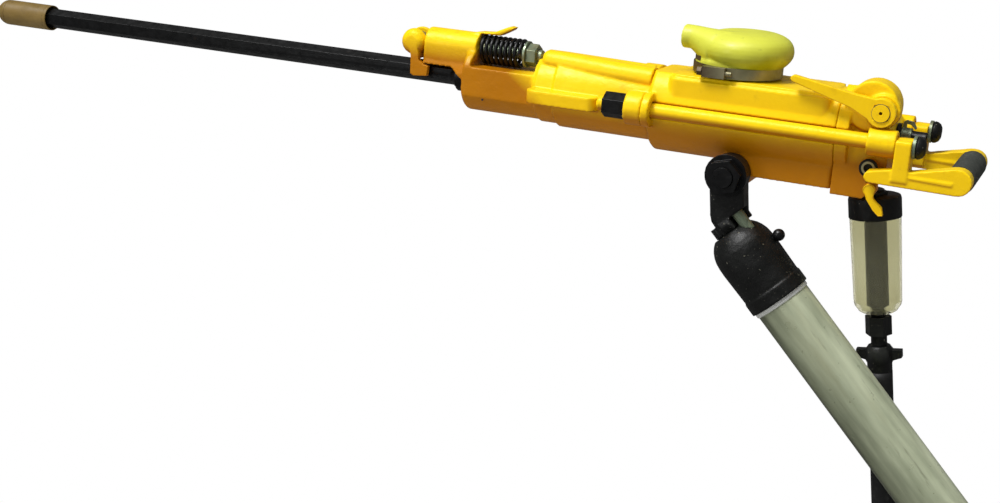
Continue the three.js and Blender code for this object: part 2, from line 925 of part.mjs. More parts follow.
function rifleBarSolid() {
  const shape = new THREE.Shape(
    Array.from({ length: rifleBar.flutes }, (_, i) => {
      const middle = (360 * i) / rifleBar.flutes;
      const root = rifleBar.radius - rifleBar.fluteDepth;
      const land = arc(0, 0, rifleBar.radius, middle - 24, middle + 24, 3);
      return [...land, ...arc(0, 0, root, middle + 32, middle + 58, 2)];
    })
      .flat()
      .map(([x, y]) => new THREE.Vector2(x, y)),
  );
  const length = chestEnd - barFront + overrun;
  const fluted = new THREE.ExtrudeGeometry(shape, { depth: length, steps: 12, bevelEnabled: false });
  const places = fluted.attributes.position;
  const corner = new THREE.Vector3();
  for (let i = 0; i < places.count; i++) {
    corner.fromBufferAttribute(places, i);
    corner.applyAxisAngle(new THREE.Vector3(0, 0, 1), (Math.PI / 2) * (corner.z / length));
    places.setXYZ(i, corner.x, corner.y, corner.z);
  }
  const twisted = solidOf(fluted.translate(0, 0, barFront).applyMatrix4(layings.x));
  const head = turned(
    "x",
    [
      [chestEnd + seatGap, 0],
      [chestEnd + seatGap, rifleBar.headRadius],
      [chestEnd + seatGap + rifleBar.headLength, rifleBar.headRadius],
      [chestEnd + seatGap + rifleBar.headLength, 0],
    ],
  );
  const needleHole = bar(
    "x",
    needle.radius + runningGap,
    barFront - overrun,
    chestEnd + rifleBar.headLength + overrun,
  );
  return cut(join(twisted, head), needleHole);
}

// Ratchet ring round the pawl head, with its inner teeth
function ratchetRing() {
  const teeth = 20;
  const [tip, root] = [rifleBar.headRadius + runningGap, rifleBar.headRadius + castEdge];
  const inner = Array.from({ length: teeth }, (_, i) => {
    const from = (360 * i) / teeth;
    const to = (360 * (i + 0.9)) / teeth;
    return [...arc(0, 0, tip, from, from, 1).slice(1), ...arc(0, 0, root, to, to, 1).slice(1)];
  }).flat();
  const outer = circle(0, 0, cylinder.chestRadius - seatGap * 2);
  return slab("x", outer, chestEnd + seatGap, cylinderEnd, [inner]);
}

// Valve chest behind the bore, and the plate valve that shuttles in it

const chestStart = boreEnd + seatGap;
const valveStart = chestStart + castEdge;
const valveLength = castEdge * 2;

function valveChest() {
  const outer = cylinder.chestRadius - seatGap * 2;
  const body = pipe("x", outer, rifleBar.radius + 2 * runningGap, chestStart, chestEnd);
  const pocket = pipe("x", outer * 0.75, rifleBar.radius, valveStart, valveStart + valveLength);
  const port = bar("z", castEdge, 0, outer + overrun, [valveStart + valveLength / 2, 0]);
  return cut(body, pocket, port);
}

const valvePlate = () =>
  pipe(
    "x",
    cylinder.chestRadius * 0.7,
    rifleBar.radius + 2 * runningGap,
    valveStart + seatGap,
    valveStart + valveLength / 2,
  );

// Water needle, from the rear inlet through every hollow piece into the shank
const waterNeedle = () => pipe("x", needle.radius, needle.radius / 2, needle.front, backEnd - castEdge);

// Back head: main block, throttle housing across it, bolt barrels, regulator boss, trigger lug

function backHeadCasting() {
  const side = [
    [backStart, -backHead.depth],
    [backStart + backHead.length * 0.62, -backHead.depth],
    [backEnd, -backHead.depth * 0.6],
    [backEnd, backHead.height * 0.4],
    [backEnd - castEdge * 2, backHead.height],
    [backStart, backHead.height],
  ];
  const main = slab("y", side, -backHalf, backHalf);
  const flange = bar("x", cylinder.radius, backStart, backStart + castEdge * 3);
  const housingNear = -backHalf - castEdge;
  const housing = bar("y", throttle.radius, housingNear, throttle.farSide, throttleMiddle);
  const hub = bar(
    "y",
    throttle.hubRadius,
    leverOuter + seatGap,
    -backHalf + castEdge,
    hubMiddle,
  );
  const barrels = [-1, 1].flatMap((way) => {
    const y = way * boltOffset;
    const inner = way * (backHalf - castEdge);
    const half = sideBolt.rearLugRadius * 0.8;
    const start = earStart - seatGap - sideBolt.rearLugRadius * 2;
    return [
      bar("x", sideBolt.rearLugRadius, start, earStart - seatGap, [y, 0]),
      block(start, backEnd, Math.min(y, inner), Math.max(y, inner), -half, half),
    ];
  });
  const regulatorBoss = bar(
    "y",
    regulator.radius,
    -backHalf - castEdge,
    -backHalf + castEdge,
    regulatorMiddle,
  );
  const triggerLug = bar(
    "y",
    trigger.hubRadius,
    triggerY + trigger.width / 2 + seatGap,
    -backHalf + castEdge,
    triggerMiddle,
  );
  const cavity = bar("x", backHead.cavityRadius, backStart - overrun, backStart + backHead.cavityLength);
  const needleHole = bar("x", needle.radius + seatGap * 2, backStart, backEnd + overrun);
  const spoolBore = bar(
    "y",
    throttle.spoolRadius + runningGap,
    -cylinder.radius,
    throttle.farSide - castEdge,
    hubMiddle,
  );
  const regulatorBore = bar(
    "y",
    regulator.hole * 1.6 + runningGap,
    -cylinder.radius,
    -backHalf / 2,
    regulatorMiddle,
  );
  const pinHole = bar(
    "y",
    trigger.pinRadius + runningGap,
    -cylinder.radius,
    -backHalf + castEdge,
    triggerMiddle,
  );
  const portMiddle = [cylinderEnd + oiler.setback, oiler.side];
  const airPort = bar("z", oiler.fittingRadius * 0.5, -backHead.depth - overrun, 0, portMiddle);
  const wide = 2 * cylinder.radius;
  const ahead = block(cylinderStart, backStart, -wide, wide, -wide, wide);
  const casting = join(main, flange, housing, hub, ...barrels, regulatorBoss, triggerLug);
  return cut(casting, ahead, cavity, needleHole, spoolBore, regulatorBore, pinHole, airPort, ...boltHoles());
}

// Throttle lever with its hub, and the valve spool that it turns

const leverOuter = -backHalf - 2 * castEdge - seatGap;

function throttleLever() {
  const [hubX, hubZ] = hubMiddle;
  const [tipX, tipZ] = [hubX - lever.reach, hubZ + lever.rise];
  const [rootX, rootZ] = [hubX - lever.reach * 0.3, hubZ + lever.rise * 0.35];
  const inner = leverOuter - lever.thickness;
  const hub = slab("y", circle(hubX, hubZ, lever.hubRadius), inner, leverOuter);
  const root = slab(
    "y",
    belt(hubX, hubZ, lever.hubRadius * 0.85, rootX, rootZ, lever.hubRadius * 0.5),
    inner,
    leverOuter - overrun,
  );
  const blade = slab(
    "y",
    belt(rootX, rootZ, lever.hubRadius * 0.5, tipX, tipZ, lever.tipRadius),
    inner,
    leverOuter - overrun,
  );
  const square = throttle.spoolRadius * 0.6;
  const seat = slab(
    "y",
    rectangle(hubX - square, hubX + square, hubZ - square, hubZ + square),
    inner - overrun,
    leverOuter + overrun,
  );
  return cut(join(hub, root, blade), seat);
}

function throttleSpool() {
  const middle = hubMiddle;
  const far = throttle.farSide - castEdge * 2;
  const body = bar("y", throttle.spoolRadius, leverOuter + seatGap, far, middle);
  const square = throttle.spoolRadius * 0.6 - seatGap;
  const tenon = slab(
    "y",
    rectangle(middle[0] - square, middle[0] + square, middle[1] - square, middle[1] + square),
    leverOuter - lever.thickness,
    leverOuter + overrun,
  );
  const button = bar(
    "y",
    lever.hubRadius * 0.6,
    leverOuter - lever.thickness - overrun,
    leverOuter - lever.thickness - seatGap,
    middle,
  );
  const neck = bar(
    "y",
    square,
    leverOuter - lever.thickness - overrun,
    leverOuter - lever.thickness + overrun,
    middle,
  );
  const outerFace = leverOuter - lever.thickness - 2 * overrun;
  const dimple = bar("y", lever.tipRadius / 2, outerFace, leverOuter, middle);
  const wide = 2 * cylinder.radius;
  const airWay = bar("z", throttle.spoolRadius / 2, -wide, wide, [hubMiddle[0], 0]);
  return cut(join(body, tenon, button, neck), dimple, airWay);
}

// Regulator for the leg's air: a short valve with a ringed knob
function regulatorValve() {
  const middle = regulatorMiddle;
  const face = -backHalf - castEdge - seatGap;
  const disc = bar("y", regulator.radius, face - regulator.thickness, face, middle);
  const stem = bar("y", regulator.hole * 1.6, face - overrun, -backHalf / 2 - seatGap, middle);
  const dimple = bar("y", regulator.hole, face - 2 * regulator.thickness, face - overrun / 2, middle);
  return cut(join(disc, stem), dimple);
}

// Water connector on the rear face, and the collar with two bent wings that tightens it

const connectorStart = backEnd + seatGap;

function waterConnector() {
  const end = connectorStart + waterInlet.length;
  const flangeLength = castEdge;
  const body = turned(
    "x",
    [
      [connectorStart, 0],
      [connectorStart, waterInlet.radius * 1.3],
      [connectorStart + flangeLength, waterInlet.radius * 1.3],
      [connectorStart + flangeLength, waterInlet.radius * 0.7],
      [end, waterInlet.radius * 0.7],
      [end, 0],
    ],
  );
  return cut(body, bar("x", waterInlet.bore, connectorStart - overrun, end + overrun));
}

function waterWingNut() {
  const start = connectorStart + castEdge + seatGap;
  const end = start + waterInlet.collarLength;
  const bore = waterInlet.radius * 0.7 + seatGap;
  const collar = pipe("x", waterInlet.collarRadius * 0.8, bore, start, end);
  const thickness = waterInlet.wingThickness;
  const wings = [-1, 1].map((way) => {
    const reach = waterInlet.wingReach;
    const root = waterInlet.collarRadius * 0.7;
    const wing = [
      [start + thickness * 0.2, root],
      [start + thickness * 0.2, reach * 0.9],
      [start + thickness, reach],
      [end, reach * 0.95],
      [end + thickness * 1.2, reach * 0.6],
      [end + thickness * 0.8, reach * 0.5],
      [end - thickness / 2, reach * 0.75],
      [start + thickness * 1.2, reach * 0.8],
      [start + thickness * 1.2, root],
    ].map(([x, z]) => [x, way * z]);
    return slab("y", wing, -thickness / 2, thickness / 2);
  });
  return join(collar, ...wings);
}

// Rod retainer: eye bolt through the boss, swinging fork, pin, spring, washer and nut

const washerStart = springStart + spring.length + seatGap;
const nutStart = washerStart + retainerNut.washerLength + seatGap;
const boltEnd = nutStart + retainerNut.length + retainerNut.tail;
const knuckle = [retainer.knuckleX, retainer.axisHeight];

function retainerBolt() {
  const shank = bar("x", retainer.boltRadius, retainer.knuckleX, boltEnd, [0, retainer.axisHeight]);
  const half = retainer.eyeWidth / 2;
  const eye = bar("y", retainer.eyeRadius, -half, half, knuckle);
  return cut(join(shank, eye), bar("y", retainer.pinRadius + runningGap / 2, -2 * half, 2 * half, knuckle));
}

function retainerFork() {
  const wide = retainer.forkHalfWidth;
  const round = retainer.knuckleRadius;
  const head = turned(
    "y",
    [
      [-wide, 0],
      [-wide, round * 0.5],
      [-wide * 0.95, round * 0.72],
      [-wide * 0.8, round * 0.91],
      [-wide * 0.6, round],
      [wide * 0.6, round],
      [wide * 0.8, round * 0.91],
      [wide * 0.95, round * 0.72],
      [wide, round * 0.5],
      [wide, 0],
    ],
    knuckle,
  );
  const prong = slab(
    "y",
    prongOutlineShares.map(([x, z]) => [knuckle[0] + x * round, knuckle[1] + z * round]),
    -wide,
    wide,
  );
  const rodGap = rod.flats / Math.sqrt(3) + runningGap;
  const top = retainer.axisHeight + 2 * retainer.knuckleRadius;
  const [front, rear] = [retainer.knuckleX - 2 * wide, retainer.knuckleX + 2 * wide];
  const bridge = bar("y", retainer.axisHeight - rodGap, -wide, wide, knuckle);
  const rodSlot = cut(block(front, rear, -rodGap, rodGap, -wide, retainer.axisHeight), bridge);
  const slotHalf = retainer.eyeWidth / 2 + runningGap;
  const eyeReach = retainer.eyeRadius + runningGap;
  const eyeSlot = slab("y", circle(...knuckle, eyeReach), -slotHalf, slotHalf);
  const shankReach = retainer.boltRadius + runningGap;
  const shankSlot = block(
    retainer.knuckleX - shankReach,
    rear,
    -slotHalf,
    slotHalf,
    retainer.axisHeight - shankReach,
    top,
  );
  const pinHole = bar("y", retainer.pinRadius + seatGap, pinNear - seatGap, 2 * wide, knuckle);
  return cut(join(head, prong), rodSlot, eyeSlot, shankSlot, pinHole);
}

// The pin is driven in from the far side, and the fork's near cheek covers its end
const pinNear = -retainer.forkHalfWidth * 0.75;

const retainerPin = () =>
  bar("y", retainer.pinRadius, pinNear, retainer.forkHalfWidth * 0.9, knuckle);

const retainerWasher = () =>
  pipe(
    "x",
    retainerNut.washerRadius,
    retainer.boltRadius + seatGap,
    washerStart,
    washerStart + retainerNut.washerLength,
    [0, retainer.axisHeight],
  );

const hexNut = (axis, flats, hole, from, to, middle) =>
  slab(axis, hexagon(...middle, flats, 90), from, to, [circle(...middle, hole).reverse()]);

// The spring's path: a helix whose two ends run on straight
function springPath() {
  const steps = 8;
  const count = Math.round(spring.curls * steps);
  const inset = spring.wire / 2 + 2 * seatGap;
  const [from, to] = [springStart + inset, springStart + spring.length - inset];
  const at = (i) => {
    const angle = (2 * Math.PI * i) / steps;
    const outward = new THREE.Vector3(0, Math.cos(angle), Math.sin(angle));
    const place = outward.clone().multiplyScalar(spring.radius);
    place.x = from + ((to - from) * i) / count;
    place.z += retainer.axisHeight;
    return { place, up: outward };
  };
  const path = Array.from({ length: count + 1 }, (_, i) => at(i));
  const runOn = (end, near) => {
    const way = end.place.clone().sub(near.place).normalize();
    return { place: end.place.clone().addScaledVector(way.setX(0).normalize(), spring.wire), up: end.up };
  };
  return [runOn(path[0], path[1]), ...path, runOn(path.at(-1), path.at(-2))];
}

// Side bolts with a hexagonal nut in front and a domed nut on a washer behind

const boltRear = earEnd + sideNut.washerLength + sideNut.domeLength * 0.4;

const sideBoltSolid = (side) =>
  turned(
    "x",
    [
      [boltFront, 0],
      [boltFront, sideBolt.radius * 0.8],
      [boltFront + overrun, sideBolt.radius],
      [boltRear, sideBolt.radius],
      [boltRear, 0],
    ],
    [side * boltOffset, 0],
  );

const sideNutSolid = (side) =>
  hexNut(
    "x",
    sideNut.flats,
    sideBolt.radius + seatGap,
    lugFront - seatGap - sideNut.length,
    lugFront - seatGap,
    [side * boltOffset, 0],
  );

function rearNut(side) {
  const start = earEnd + seatGap;
  const middle = [side * boltOffset, 0];
  const domeStart = start + sideNut.washerLength;
  const body = turned(
    "x",
    [
      [start, 0],
      [start, sideNut.domeRadius],
      [domeStart, sideNut.domeRadius],
      [domeStart + sideNut.domeLength * 0.5, sideNut.domeRadius * 0.9],
      [domeStart + sideNut.domeLength, sideNut.domeRadius * 0.5],
      [domeStart + sideNut.domeLength, 0],
    ],
    middle,
  );
  return cut(body, bar("x", sideBolt.radius + seatGap, start - overrun, boltRear + seatGap, middle));
}

// Handle: two arms with an ear round each side bolt, joined by the grip's tube

const [gripX, gripZ] = gripMiddle;
const barTop = gripZ + handle.barHeight / 4;
const barBottom = barTop - handle.barHeight;

function handleArm(side) {
  const [inner, outer] = [handSpan, handSpan + handle.barWidth];
  const [low, high] = [Math.min(side * inner, side * outer), Math.max(side * inner, side * outer)];
  const tip = handle.tipRadius;
  const tipMiddle = [earStart - handle.frontReach + tip, barBottom - handle.tipDrop + tip];
  const barOutline = [
    [earStart, barTop - seatGap],
    ...arc(...tipMiddle, tip, 90, 270, 6),
    [gripX, gripZ - handle.bossRadius],
    [gripX, gripZ + handle.bossRadius * 0.6],
    [earEnd + ear.length * 0.6, barTop],
  ];
  const armBar = slab("y", barOutline, low, high);
  const endBoss = slab("y", circle(gripX, gripZ, handle.bossRadius), low, high);
  const earHalf = sideBolt.rearLugRadius;
  const middle = side * boltOffset;
  const earOutline = roundedRectangle(
    middle - earHalf,
    middle + earHalf,
    barBottom + overrun,
    ear.top,
    castEdge * 0.8,
    3,
  );
  const earPlate = slab("x", earOutline, earStart, earEnd);
  const boltHole = bar(
    "x",
    sideBolt.radius + seatGap,
    earStart - overrun,
    earEnd + overrun,
    [side * boltOffset, 0],
  );
  const tubeHole = bar(
    "y",
    grip.tubeRadius + seatGap,
    side > 0 ? low - overrun : low + castEdge,
    side > 0 ? high - castEdge : high + overrun,
    gripMiddle,
  );
  return cut(join(armBar, endBoss, earPlate), boltHole, tubeHole);
}

const tubeHalf = handSpan + handle.barWidth - castEdge - seatGap;

const gripTube = () =>
  pipe(
    "y",
    grip.tubeRadius,
    grip.tubeRadius - grip.tubeWall,
    -tubeHalf,
    tubeHalf,
    gripMiddle,
  );

const gripSleeve = () =>
  pipe(
    "y",
    grip.radius,
    grip.tubeRadius + seatGap,
    -handSpan + seatGap,
    handSpan - seatGap,
    gripMiddle,
  );

// Trigger: a curved, pointed blade on a short journal
function triggerSolid() {
  const [x, z] = triggerMiddle;
  const blade = [
    [x - trigger.hubRadius * 0.9, z],
    [x - trigger.hubRadius * 0.3, z - trigger.length * 0.4],
    [x + trigger.sweep * 0.5, z - trigger.length * 0.8],
    [x + trigger.sweep, z - trigger.length],
    [x + trigger.sweep * 1.5, z - trigger.length * 0.96],
    [x + trigger.sweep * 1.3, z - trigger.length * 0.6],
    [x + trigger.hubRadius * 0.9, z - trigger.length * 0.3],
    [x + trigger.hubRadius * 0.9, z],
  ];
  const half = trigger.width / 2;
  return join(
    slab("y", blade, triggerY - half, triggerY + half),
    bar("y", trigger.hubRadius, triggerY - half, triggerY + half, [x, z]),
    bar("y", trigger.pinRadius, triggerY, -backHalf + castEdge - seatGap, [x, z]),
  );
}

// Exhaust: steel spigot on the valve box, rubber muffler over it, band clamp and its screw

const spigotStart = valveBox.height + seatGap;
const mufflerInner = exhaust.spigotRadius + seatGap;
const mufflerOuter = mufflerInner + muffler.wall;
const mufflerBulge = exhaust.spigotRadius + muffler.bulgeReach;
const outletX = exhaustMiddle[0] - muffler.outletReach;
const outletY = -muffler.outletSide;
const outletZ = valveBox.height + muffler.outletRise;
const skirtEnd = spigotStart + muffler.skirt;

const exhaustSpigot = () =>
  pipe(
    "z",
    exhaust.spigotRadius,
    exhaust.spigotRadius - exhaust.spigotWall,
    spigotStart,
    spigotStart + exhaust.spigotHeight,
    exhaustMiddle,
  );

function mufflerSolid() {
  const start = spigotStart + seatGap * 2;
  const top = skirtEnd + muffler.height;
  const profile = (inset) => [
    [skirtEnd + inset, 0],
    [skirtEnd + inset, mufflerOuter - inset],
    [skirtEnd + muffler.height * 0.14, mufflerOuter + overrun - inset],
    [skirtEnd + muffler.height * 0.3, mufflerBulge - inset],
    [skirtEnd + muffler.height * 0.6, mufflerBulge - inset],
    [skirtEnd + muffler.height * 0.82, mufflerBulge * 0.92 - inset],
    [top - inset * 1.3, mufflerBulge * 0.68],
    [top - inset, 0],
  ];
  const dome = turned("z", profile(0), exhaustMiddle);
  const hollow = turned("z", profile(muffler.wall), exhaustMiddle);
  const skirt = pipe("z", mufflerOuter, mufflerInner, start, skirtEnd + overrun, exhaustMiddle);
  const throat = bar("z", mufflerInner, spigotStart, skirtEnd + muffler.height / 3, exhaustMiddle);
  const rim = bar(
    "x",
    muffler.outletRadius + overrun / 2,
    outletX,
    outletX + muffler.wall * 2,
    [outletY, outletZ],
  );
  return cut(join(dome, skirt, spout(0), rim), hollow, throat, spout(muffler.wall));
}

// The spout widens and sinks from the outlet into the dome; the inset makes the passage inside it
function spout(inset) {
  const reach = exhaustMiddle[0] - outletX;
  const sink = muffler.outletRadius;
  const stationShares = [
    { along: inset ? -overrun / reach : 0, down: 0, radius: 1 },
    { along: 0.3, down: 0, radius: 1.05 },
    { along: 0.6, down: 0.3, radius: 1.4 },
    { along: 1, down: 0.4, radius: 1.5 },
  ];
  const path = stationShares.map(({ along, down, radius }) => ({
    place: new THREE.Vector3(
      outletX + reach * along,
      outletY * (1 - Math.max(along, 0)),
      outletZ - sink * down,
    ),
    up: new THREE.Vector3(0, 0, 1),
    radius: muffler.outletRadius * radius - inset,
  }));
  return woundTube(path, muffler.outletRadius, 20);
}

const clampStart = spigotStart + seatGap * 2 + overrun / 2;
const clampInner = mufflerOuter + seatGap;

const clampOuter = clampInner + clamp.thickness;
const screwMiddle = [-clampOuter - clamp.screwRadius - runningGap, clampStart + clamp.width / 2];
const housingEnd = exhaustMiddle[0];
const housingStart = housingEnd - clamp.housingLength;

function clampBand() {
  const middle = exhaustMiddle;
  const band = pipe("z", clampOuter, clampInner, clampStart, clampStart + clamp.width, middle);
  const near = screwMiddle[0] - clamp.screwRadius - runningGap * 2;
  const [low, high] = [clampStart, clampStart + clamp.width];
  const housing = block(housingStart, housingEnd, near, near + clamp.housingDepth, low, high);
  const within = bar("z", clampInner + clamp.thickness / 2, 0, skirtEnd * 2, middle);
  const [front, rear] = [housingStart - overrun, housingEnd + overrun];
  const hole = bar("x", clamp.screwRadius + seatGap, front, rear, screwMiddle);
  return cut(join(band, cut(housing, within)), hole);
}

function clampScrew() {
  const headStart = housingStart - seatGap - 2 * clamp.screwRadius;
  const head = slab("x", hexagon(...screwMiddle, clamp.screwHead), headStart, housingStart - seatGap);
  const shank = bar("x", clamp.screwRadius, headStart + overrun, headStart + clamp.screwLength, screwMiddle);
  return join(head, shank);
}

// Leg axle through the foot block, with its flanged nut

const yokeNear = yokeFar - yoke.thickness;
const nutFace = yokeNear - seatGap;

function legAxle() {
  const middle = pivotMiddle;
  const far = footBlock.halfWidth + seatGap;
  const shaft = bar("y", axle.radius, nutFace - axle.nutLength, far + overrun, middle);
  const flange = bar("y", axle.flangeRadius, far, far + axle.flangeLength, middle);
  return join(shaft, flange);
}

function legAxleNut() {
  const middle = pivotMiddle;
  const washerLength = castEdge * 0.6;
  const hex = slab("y", hexagon(...middle, axle.nutFlats, 75), nutFace - axle.nutLength + overrun, nutFace);
  const washer = bar("y", axle.washerRadius, nutFace - washerLength, nutFace, middle);
  return cut(
    join(hex, washer),
    bar("y", axle.radius + seatGap, nutFace - 2 * axle.nutLength, nutFace + overrun, middle),
  );
}

// Yoke: the arm from the axle down to a flange on the leg's own axis. Here X runs down the leg.

const flangeEndX = leg.headStart - seatGap;
const flangeStartX = flangeEndX - yoke.flangeLength;

function legYoke() {
  const [near, far] = [yokeNear, yokeFar];
  const wide = leg.headEnd;
  const eye = slab("y", circle(0, 0, yoke.eyeRadius), near, far);
  const arm = slab(
    "y",
    belt(0, 0, yoke.armRadius, yoke.armEnd, yoke.armOffset, yoke.armRadius),
    near,
    far,
  );
  const flange = bar("x", yoke.flangeRadius, flangeStartX, flangeEndX, legMiddle);
  const hole = bar("y", axle.radius + runningGap, near - overrun, far + overrun);
  const studFront = stud.start - seatGap;
  const studHole = bar("x", stud.radius + seatGap, studFront, flangeEndX + overrun, studMiddle);
  const beyond = block(flangeEndX, wide, -wide, wide, -wide, wide);
  const notchFar = studMiddle[0] + stud.radius;
  const notchLow = studMiddle[1] - stud.radius * 1.2;
  const notch = block(flangeStartX, wide, -wide, notchFar, notchLow, wide);
  return cut(join(eye, arm, flange), beyond, notch, hole, studHole);
}

function legHead() {
  const body = turned(
    "x",
    [
      [leg.headStart, 0],
      [leg.headStart, leg.headTopRadius],
      [leg.headStart + castEdge * 2, leg.headRadius - castEdge / 2],
      [leg.headStart + castEdge * 3, leg.headRadius],
      [leg.tubeStart, leg.headRadius],
      [leg.tubeStart + (leg.headEnd - leg.tubeStart) * 0.4, leg.skirtRadius],
      [leg.headEnd, leg.skirtRadius],
      [leg.headEnd, 0],
    ],
    legMiddle,
  );
  const socket = bar("x", leg.tubeRadius + seatGap, leg.tubeStart, leg.headEnd + overrun, legMiddle);
  const studEnd = stud.end + seatGap;
  const studHole = bar("x", stud.radius + seatGap, leg.headStart - overrun, studEnd, studMiddle);
  const stem = knob.radius * 0.6 + seatGap;
  const knobHole = bar("z", stem, knobBase - knob.depth, leg.headEnd, [knob.station, legMiddle[0]]);
  return cut(body, socket, studHole, knobHole);
}

const knobBase = leg.axisOffset + leg.headRadius;

const swivelStud = () => bar("x", stud.radius, stud.start, stud.end, studMiddle);

function ventKnob() {
  const middle = [knob.station, legMiddle[0]];
  return join(
    bar("z", knob.radius * 0.6, knobBase - knob.depth + seatGap, knobBase + overrun, middle),
    bar("z", knob.radius, knobBase + seatGap, knobBase + knob.height, middle),
  );
}

const tubeEnd = leg.closedLength - leg.tubeShort;

const outerTube = () =>
  pipe("x", leg.tubeRadius, leg.tubeRadius - leg.tubeWall, leg.tubeStart + seatGap, tubeEnd, legMiddle);

function guideCollar() {
  const start = tubeEnd - leg.collarOverlap;
  const end = start + leg.collarLength;
  const body = bar("x", leg.collarRadius, start, end, legMiddle);
  const socket = bar("x", leg.tubeRadius + seatGap, start - overrun, tubeEnd + seatGap, legMiddle);
  const hole = bar("x", leg.innerRadius + runningGap, start, end + overrun, legMiddle);
  return cut(body, socket, hole);
}

const footStartX = leg.closedLength - foot.length;
const innerEnd = footStartX + foot.socketDepth - seatGap;

const innerTube = () =>
  pipe(
    "x",
    leg.innerRadius,
    leg.innerRadius - leg.innerWall,
    leg.pistonStart + leg.pistonLength - castEdge,
    innerEnd,
    legMiddle,
  );

function legPiston() {
  const radius = leg.tubeRadius - leg.tubeWall - runningGap;
  const end = leg.pistonStart + leg.pistonLength;
  const body = bar("x", radius, leg.pistonStart, end, legMiddle);
  const socket = bar("x", leg.innerRadius + seatGap, end - castEdge - seatGap, end + overrun, legMiddle);
  return cut(body, socket);
}

// Foot: a socket on the inner tube that narrows to a blunt spike, with a claw on each side
function legFoot() {
  const body = turned(
    "x",
    [
      [footStartX, 0],
      [footStartX, foot.socketRadius],
      [footStartX + foot.socketDepth + castEdge, foot.socketRadius],
      [leg.closedLength - foot.clawLength, foot.tipRadius * 2],
      [leg.closedLength, foot.tipRadius],
      [leg.closedLength, 0],
    ],
    legMiddle,
  );
  const claws = [-1, 1].map((side) => {
    const [root, out] = [foot.tipRadius, foot.socketRadius];
    const claw = [
      [footStartX + foot.socketDepth, legMiddle[0] + side * root],
      [footStartX + foot.socketDepth, legMiddle[0] + side * (out - overrun)],
      [leg.closedLength - foot.clawLength * 0.4, legMiddle[0] + side * (out + foot.clawWidth / 2)],
      [leg.closedLength - foot.clawLength * 1.6, legMiddle[0] + side * root],
    ];
    return slab("z", claw, leg.axisOffset - foot.clawWidth / 2, leg.axisOffset + foot.clawWidth / 2);
  });
  const depth = footStartX + foot.socketDepth;
  const socket = bar("x", leg.innerRadius + seatGap, footStartX - overrun, depth, legMiddle);
  return cut(join(body, ...claws), socket);
}

// Oiler, hanging plumb below the back head. Here Z is zero at the back head's underside.

const capTop = -oiler.drop;
const bottleTop = capTop - oiler.capLength - seatGap;
const bottleEnd = bottleTop - oiler.bottleLength;
const coreEnd = bottleEnd - castEdge;

// The fitting's upper end follows the tilt of the port that it screws into
function oilerFitting() {
  const body = bar("z", oiler.fittingRadius, capTop + seatGap, oiler.drop);
  const flats = oiler.fittingRadius * 2.3;
  const hex = slab("z", hexagon(0, 0, flats), capTop + seatGap, capTop + oiler.drop * 0.5);
  const plane = new THREE.BoxGeometry(oiler.capRadius * 4, oiler.capRadius * 4, oiler.capRadius);
  plane.translate(0, 0, oiler.capRadius / 2 - seatGap);
  plane.rotateY(THREE.MathUtils.degToRad(noseUpAngle));
  const bore = bar("z", oiler.coreBore, capTop - overrun, oiler.drop + overrun);
  return cut(join(body, hex), solidOf(plane), bore);
}

function oilerCap() {
  const end = capTop - oiler.capLength;
  const body = turned(
    "z",
    [
      [end, 0],
      [end, oiler.capRadius],
      [capTop - castEdge, oiler.capRadius],
      [capTop, oiler.capRadius - castEdge],
      [capTop, 0],
    ],
  );
  const core = bar("z", oiler.coreRadius, coreEnd, end + overrun);
  return cut(join(body, core), bar("z", oiler.coreBore, coreEnd - overrun, capTop + overrun));
}

function oilerBottle() {
  const wall = oiler.bottleWall;
  const profile = [
    [bottleEnd, oiler.coreRadius + seatGap],
    [bottleEnd, oiler.bottleFootRadius],
    [bottleEnd + castEdge, oiler.bottleFootRadius + wall * 0.4],
    [bottleTop, oiler.bottleRadius],
    [bottleTop, oiler.bottleRadius - wall],
    [bottleEnd + 2 * wall, oiler.bottleFootRadius - wall],
    [bottleEnd + 2 * wall, oiler.coreRadius + seatGap],
    [bottleEnd, oiler.coreRadius + seatGap],
  ];
  return turned("z", profile);
}

// Union nut under the bottle, neck, and the winged hose coupling

const unionStart = coreEnd - seatGap;
const unionEnd = unionStart - coupling.nutLength;
const neckEnd = unionEnd - coupling.neckLength;
const hoseMouth = neckEnd - coupling.wingLength;

function oilerUnion() {
  const nut = slab("z", hexagon(0, 0, coupling.nutRadius * 1.9), unionEnd, unionStart);
  const neck = bar("z", coupling.neckRadius, neckEnd + seatGap, unionEnd + overrun);
  return cut(join(nut, neck), bar("z", oiler.coreBore, neckEnd - overrun, unionStart + overrun));
}

function wingCoupling() {
  const body = turned(
    "z",
    [
      [hoseMouth, 0],
      [hoseMouth, coupling.wingRadius * 0.9],
      [hoseMouth + coupling.wingLength * 0.3, coupling.wingRadius * 0.9],
      [hoseMouth + coupling.wingLength * 0.4, coupling.wingRadius],
      [neckEnd - castEdge, coupling.wingRadius],
      [neckEnd, coupling.wingRadius * 0.8],
      [neckEnd, 0],
    ],
  );
  const low = hoseMouth + coupling.wingLength * 0.4;
  const wings = [-1, 1].map((side) =>
    slab(
      "y",
      [
        [side * coupling.wingRadius * 0.8, low],
        [side * coupling.wingReach, low + coupling.wingLength * 0.15],
        [side * coupling.wingReach, neckEnd - castEdge],
        [side * coupling.wingRadius * 0.8, neckEnd - castEdge],
      ],
      -castEdge,
      castEdge,
    ),
  );
  return cut(join(body, ...wings), bar("z", oiler.coreBore, hoseMouth - overrun, neckEnd + overrun));
}

// Hose: its hanging stretch is swept along the route's points

rockDrill.updateMatrixWorld(true);
const hoseRadius = hose.diameter / 2;
const hoseOutlet = oilerFrame.localToWorld(new THREE.Vector3(0, 0, hoseMouth));
const hosePoints = hoseRoute.map((step) => hoseOutlet.clone().add(new THREE.Vector3(...step)));

